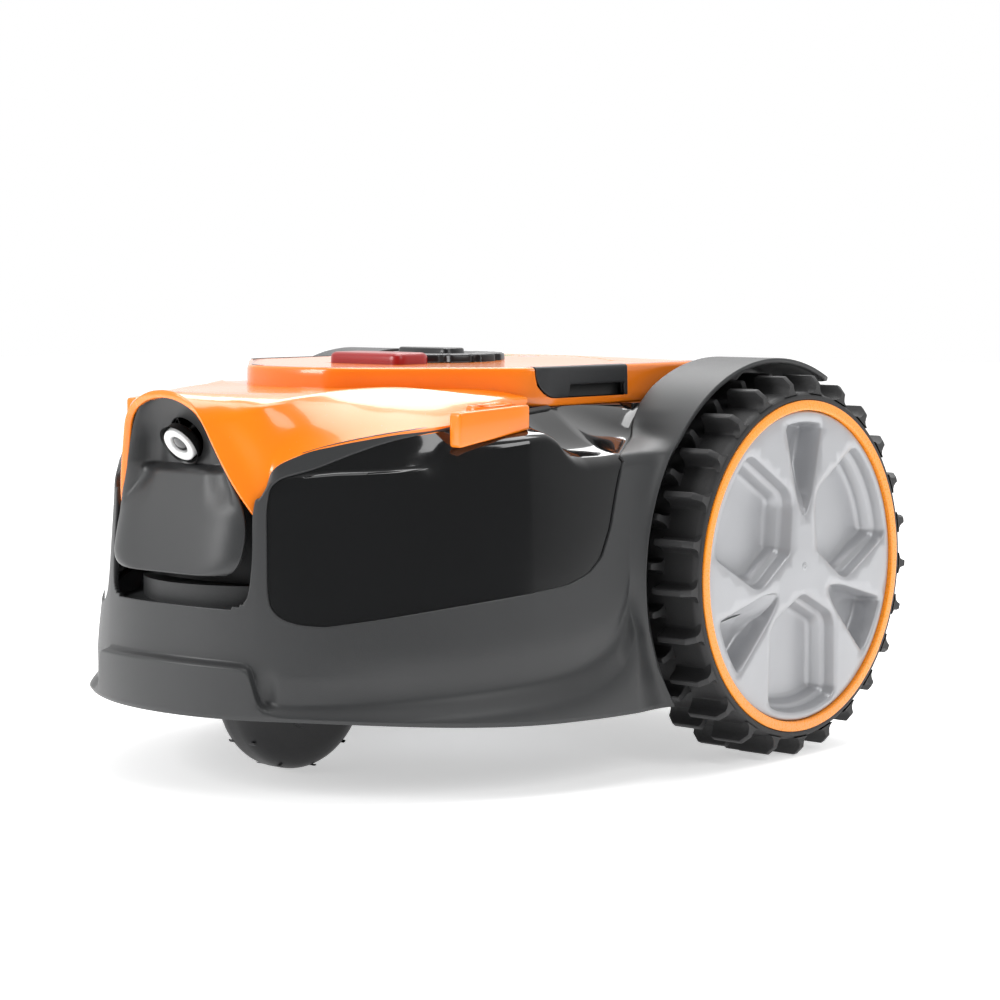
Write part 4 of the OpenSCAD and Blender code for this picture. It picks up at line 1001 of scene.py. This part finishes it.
snout.add(fv, ff)
snout.make("snout_cover", "frame", "snout_plastic", ("snout_face",), weld=0.01)


def lens_ring(r, depth):
    return [tuple(LENS + AX * depth + np.array([1, 0, 0]) * r * math.cos(a) + UP * r * math.sin(a)) for a in turns(64)]


cup = Mesh()
cup.loops([lens_ring(r, d) for r, d in [(12.6, 0.6), (12.2, 0.2), (11.8, -0.6), (11.2, -5.0), (10.4, -5.6), (3, -5.8)]],
          cap_last=True)
cup.make("camera_cup", "frame", "camera_black", ("camera_module",))
ring = Mesh()
ring.loops([lens_ring(r, d) for r, d in [(10.0, -5.4), (10.0, 0.2), (9.7, 0.8), (9.1, 1.0), (6.2, 0.7), (5.6, 0.3),
                                        (5.3, -0.8), (5.3, -5.4)]])
ring.make("camera_light", "frame", "ring_white", ("camera_ring",), outward=True)
lens = Mesh()
lens.loops([lens_ring(5.2 * math.cos(a), -1.6 + 2.4 * math.sin(a)) for a in np.linspace(0, math.pi / 2 - 0.04, 12)],
           cap_last=True)
lens.make("camera_glass", "frame", "lens_glass", ("camera_lens",), outward=True)
# throat behind the sill: the floor of the air slot and its back wall
throat = Mesh()
floor = []
for x in np.linspace(-54, 54, 37):
    e = 1 - (x / 56) ** 6
    y0 = float(plan(angle_at(min(abs(x), 54.5) + 0.5), wall_in(0, 100))[1])
    floor.append([(x, y0 + y, z) for y, z in ((0.8, 99.6), (8, 101.0 - 0.8 * e), (20, 104 - 2 * e), (26, 112),
                                              (27, 160))])
throat.grid(floor)
throat.make("nose_throat", "frame", "snout_plastic")

# ---- wheels

LUGS, TYRE_W, CASING_R, FACE_X = 25, 48.0, 100.0, 195.0


def on_wheel(x, r, a):
    """a is the angle from straight up towards the rear."""
    return (x, AXLE_Y + r * math.sin(a), AXLE_Z + r * math.cos(a))


tyre = Mesh()
x1 = FACE_X - 1.5
x0 = x1 - TYRE_W
casing = fillet([(x1 - 2.0, 95.0), (x1 + 0.4, 95.7), (x1 + 0.4, 98.2), (x1 - 2.6, CASING_R), (x0 + 3, CASING_R), (x0, 97),
                 (x0, 92.2), (x0 + 6, 92.2)], [0, 0.4, 1.2, 1.6, 2.5, 1, 1, 0], 5, fill=1)
tyre.grid([[on_wheel(x, r, a) for x, r in casing] for a in turns(200)], closed_i=True)
# one flank of a lug's section, as (across, height) from its foot to its tip
LUG_FLANK = [(6.6, -0.6), (4.0, 0.35), (2.7, 2.4), (2.0, 6.0), (1.75, 9.5), (1.2, 10.0)]
LUG_SECTION = [(-w, h) for w, h in LUG_FLANK] + LUG_FLANK[::-1]


def lug(a0, xi, xo):
    """One lug: thin at its tip, spreading into the casing, its outer end sloped down to the side."""
    span = abs(xo - xi)
    ends = [(0.0, 0.02), (0.25, 0.75), (0.8, 0.95), (1.5, 1.0), (span - 5.0, 1.0), (span - 4.2, 0.97),
            (span - 0.6, 0.62), (span, 0.55), (span + 0.05, 0.02)]
    sgn = 1 if xo > xi else -1
    b = tyre.grid([[on_wheel(xi + sgn * u, CASING_R + (h if h < 0 else h * k), a0 + w / 104.0) for w, h in LUG_SECTION]
                   for u, k in ends])
    m = len(LUG_SECTION)
    tyre.f.append([b + k for k in range(m)])
    e = b + (len(ends) - 1) * m
    tyre.f.append([e + k for k in range(m - 1, -1, -1)])


mid = (x0 + x1) / 2
pitch = 2 * math.pi / LUGS
for k in range(LUGS):
    lug(k * pitch + math.pi, mid - 1.0, x1 + 0.2)
    lug(k * pitch + math.pi + pitch / 2, mid + 1.0, x0 + 0.3)
for side, sx in (("left", 1), ("right", -1)):
    m = Mesh()
    m.add([(sx * a, b, c) for a, b, c in tyre.v], tyre.f)
    m.make("tyre_tread_" + side, "wheel_" + side, "tyre_rubber", ("tyre_" + side,), sharp=32, outward=True)

# hubcap: a flat face with three slim and three wide pockets
CAP_R = 89.3


def pocket_outline(d, root, foot, reach, half, points, radii):
    """A hubcap pocket that points along +x, moved outward by d."""
    arc = [(reach * math.cos(a), reach * math.sin(a)) for a in map(math.radians, np.linspace(-half, half, points))]
    q = [(root, 0), (foot[0], -foot[1])] + arc + [foot]
    return offset(fillet(q, radii, 8, closed=True, fill=2), d)


def wide(d):
    return pocket_outline(d, 15.5, (30.5, 31.5), 85, 22.6, 5, [4.5, 9, 7, 20, 20, 20, 7, 9])


def slim(d):
    return pocket_outline(d, 27, (38, 6.8), 83.5, 12.6, 3, [5.5, 9, 4.5, 20, 4.5, 9])


def turned(q, deg):
    c, s = math.cos(math.radians(deg)), math.sin(math.radians(deg))
    return np.stack([q[:, 0] * c - q[:, 1] * s, q[:, 0] * s + q[:, 1] * c], 1)


def dish(x, y):
    r = math.hypot(x, y)
    return -0.9 * (r / 89.0) ** 2 - 0.5 * float(step(84, 89.3, r)) + 0.35 * float(step(16, 9, r))


# (outward, height) down a pocket's walls; both kinds have the same rounded edge
EDGE_WALLS = [(0.6, 0), (0.3, -0.15), (0.05, -0.5), (-0.3, -1.4)]
WALLS = {
    slim: EDGE_WALLS + [(-1.0, -8.0), (-1.5, -14.0), (-2.2, -15.6), (-3.4, -16.2)],
    wide: EDGE_WALLS + [(-1.4, -6.0), (-1.9, -7.2), (-3.4, -8.0), (-4.6, -9.0), (-6.2, -13.4), (-6.8, -14.6),
                        (-7.8, -15.2), (-10.0, -15.5)],
}


def climb(x):
    """How far a slim pocket's floor has climbed towards the hub."""
    return 15.0 * (1 - step(27, 62, x)) ** 1.2


cap = Mesh()
cap_holes = [(kind, start + 120 * k) for k in range(3) for kind, start in ((slim, 90), (wide, 30))]
cap.join(plate(circle(0, 0, CAP_R - 1.2, 180), [turned(kind(0.6), deg) for kind, deg in cap_holes], dish, rim=0.01,
               depth=0.02, spacing=6))
cap.loops([[(r * math.cos(a), r * math.sin(a), dish(r, 0) + dz) for a in turns(180)]
           for r, dz in [(CAP_R, -6), (CAP_R, -1.2), (CAP_R - 0.1, -0.6), (CAP_R - 0.5, -0.15), (CAP_R - 1.2, 0)]])
for kind, deg in cap_holes:
    loops = []
    for d, z in WALLS[kind]:
        q = kind(d)
        zz = np.full(len(q), z)
        if kind is slim:
            zz = np.maximum(z, -16.2 + climb(q[:, 0]))
        t = turned(q, deg)
        base = np.array([dish(*p) for p in t])
        loops.append(np.concatenate([t, (base * (1 if z > -1 else 0.5) + zz)[:, None]], 1))
    inner = loops[-1]
    c = inner[:, :2].mean(0)
    for share in (0.66, 0.33):
        zz = inner[:, 2]
        pts = c + (inner[:, :2] - c) * share
        if kind is slim:
            zz = -16.5 + climb(pts @ np.array([math.cos(math.radians(deg)), math.sin(math.radians(deg))]))
        loops.append(np.concatenate([pts, zz[:, None]], 1))
    cap.loops(loops[::-1], cap_first=True)
# small moulding gate mark at the middle
cap.loops([lift(circle(0, 0, r, 24), dish(0, 0) + z) for r, z in [(1.0, -0.2), (1.4, 0.35), (2.2, 0.25), (2.6, -0.1)]],
          cap_first=True)
for side, sx in (("left", 1), ("right", -1)):
    m = Mesh()
    m.add([(sx * (FACE_X - 0.8 + z), AXLE_Y - x, AXLE_Z + y) for x, y, z in cap.v], cap.f)
    m.make("hubcap_face_" + side, "wheel_" + side, "hubcap_silver", ("hubcap_" + side,), weld=0.01, sharp=50,
           outward=True)
    m = Mesh()
    prof = fillet([(191.6, 89.5), (194.6, 89.7), (194.9, 90.6), (194.9, 94.6), (194.5, 95.4), (191.8, 95.4)],
                  [0, 0.3, 0.5, 0.5, 0.3, 0], 4, fill=1)
    m.grid([[on_wheel(sx * x, r, a) for x, r in prof] for a in turns(180)], closed_i=True)
    m.make("trim_band_" + side, "wheel_" + side, "trim_yellow", ("trim_ring_" + side,), sharp=60, outward=True)

# ---- caster wheel

CY, CR = -118.0, 50.0
cast = Mesh()
cp = fillet([(-14.6, 26), (-14.9, 40), (-12.5, 46.5), (-7, 49.9), (0, 50.0), (7, 49.9), (12.5, 46.5), (14.9, 40),
             (14.6, 26)], [0, 3, 5, 4, 4, 4, 5, 3, 0], 5, fill=2)


def on_caster(x, r, a):
    """a is the angle from straight up towards the front."""
    return (x, CY - r * math.sin(a), CR + r * math.cos(a))


cast.grid([[on_caster(x, r, a) for x, r in cp] for a in turns(120)], closed_i=True)
cast.loops([[on_caster(x, 26, a) for a in turns(64)] for x in (-14.6, 14.6)])
# low tread bars in two rows
for k in range(12):
    a = math.radians(30 * k + 9)
    for x in (-6.5, 6.5):
        q = round_rect(x, 0, 8, 1.6, 0.7, 4, 1)
        cast.loops([[on_caster(u, CR - 0.35 + h, a + w / CR) for u, w in offset(q, d)]
                    for d, h in [(0.35, -0.25), (0.1, 0.05), (-0.35, 0.15), (-0.6, 0.15)]], cap_last=True)
cast.make("caster_tread", "caster_wheel", "caster_plastic", ("caster_tyre",), outward=True)

# ---- tail shell and lid

TZ = 218.0
tail_outline = fillet([(-126, 107.6), (126, 107.6), (126, 217), (-126, 217)], [1, 1, 46, 46], 14, closed=True, fill=3)
tail = Mesh()
tail.stack(tail_outline, [(50.0, 0), (120, 0), (190, -0.6), (207, -2.2), (213, -3.8), (216.2, -6.0), (217.5, -8.6),
                          (217.95, -11.5)])
bay = round_rect(0, 158.5, 156, 75, 4)
tail.join(plate(offset(tail_outline, -13.0), [bay], lambda x, y: TZ, depth=6, spacing=10))
tail.stack(tail_outline, [(217.95, -11.5), (TZ, -13.0)])
tail.make("tail_cover", "frame", "skirt_plastic", ("tail_shell",), weld=0.01, sharp=50)
lid = Mesh()
lo = round_rect(0, 157, 161.5, 83.5, 5, 6, 2)
lid.stack(lo, [(217.35, -4.6), (217.35, -1), (217.5, 0), (219.4, 0), (220.0, -0.35), (220.25, -1.1), (220.3, -2.4),
               (220.3, -4.6)], cap_first=True, cap_last=True)
for x in (-19, 19):
    kp = [(x - 18, 0.0), (x - 18, 2.7), (x - 17.6, 3.0), (x + 17.6, 3.0), (x + 18, 2.7), (x + 18, 0.0)]
    lid.grid([[(u, 203 + r * math.cos(a), 219.2 + r * math.sin(a)) for u, r in kp] for a in turns(32)], closed_i=True)
    lid.loops([lift(round_rect(x, 200, 35, 5, 1, 3, 1), z) for z in (217.6, 220.1)], cap_first=True, cap_last=True)
lid.make("lid_cover", "battery_lid", "skirt_plastic", ("battery_lid",), sharp=40, outward=True)

# ---- camera, light, floor

cam_data = bpy.data.cameras.new("view")
cam_data.lens = 97.2
cam_data.sensor_width = 36.0
cam_data.clip_end = 30
cam = bpy.data.objects.new("view", cam_data)
cam.location = (1.08936, -1.16615, 0.27854)
cam.rotation_euler = (math.radians(85.17), 0, math.radians(41.66))
scene.collection.objects.link(cam)
scene.camera = cam

floor_paper = material("floor_paper", (250, 250, 250), 0.75, grain=0.02, wear=0.004, vary=0.02)
paper_bsdf = floor_paper.node_tree.nodes["Principled BSDF"]
paper_bsdf.inputs["Emission Color"].default_value = (1, 1, 1, 1)
paper_bsdf.inputs["Emission Strength"].default_value = 0.5
me = bpy.data.meshes.new("floor")
me.from_pydata([(-6, -6, -0.0006), (6, -6, -0.0006), (6, 6, -0.0006), (-6, 6, -0.0006)], [], [[0, 1, 2, 3]])
ground = bpy.data.objects.new("floor", me)
scene.collection.objects.link(ground)
me.materials.append(floor_paper)


def area(name, loc, target, size, size_y, power):
    d = bpy.data.lights.new(name, "AREA")
    d.shape = "RECTANGLE"
    d.size, d.size_y = size, size_y
    d.energy = power
    o = bpy.data.objects.new(name, d)
    o.location = loc
    o.rotation_euler = (Vector(target) - Vector(loc)).to_track_quat("-Z", "Y").to_euler()
    scene.collection.objects.link(o)


area("top_box", (0.0, 0.2, 2.0), (0, 0, 0.1), 1.3, 1.1, 20)
area("back_box", (-1.0, 1.3, 1.9), (0, 0, 0.15), 1.1, 0.9, 18)
area("front_strip", (-0.9, -1.9, 1.1), (0, -0.05, 0.12), 0.7, 1.1, 26)
area("side_box", (1.9, -0.3, 1.5), (0.1, 0.05, 0.1), 0.9, 1.1, 13)
world = bpy.data.worlds.new("studio")
world.use_nodes = True
wn, wl = world.node_tree.nodes, world.node_tree.links
sky = wn.new("ShaderNodeTexCoord")
side = wn.new("ShaderNodeVectorMath")
side.operation = "DOT_PRODUCT"
side.inputs[1].default_value = (0.66, -0.745, 0.0)
wl.new(sky.outputs["Generated"], side.inputs[0])
fade = wn.new("ShaderNodeMapRange")
fade.interpolation_type = "SMOOTHSTEP"
fade.inputs["From Min"].default_value = -0.55
fade.inputs["From Max"].default_value = 0.75
fade.inputs["To Min"].default_value = 1.0
fade.inputs["To Max"].default_value = 0.14
wl.new(side.outputs["Value"], fade.inputs["Value"])
wl.new(fade.outputs["Result"], wn["Background"].inputs["Color"])
wn["Background"].inputs["Strength"].default_value = 1.0
scene.world = world
scene.view_settings.view_transform = "Standard"
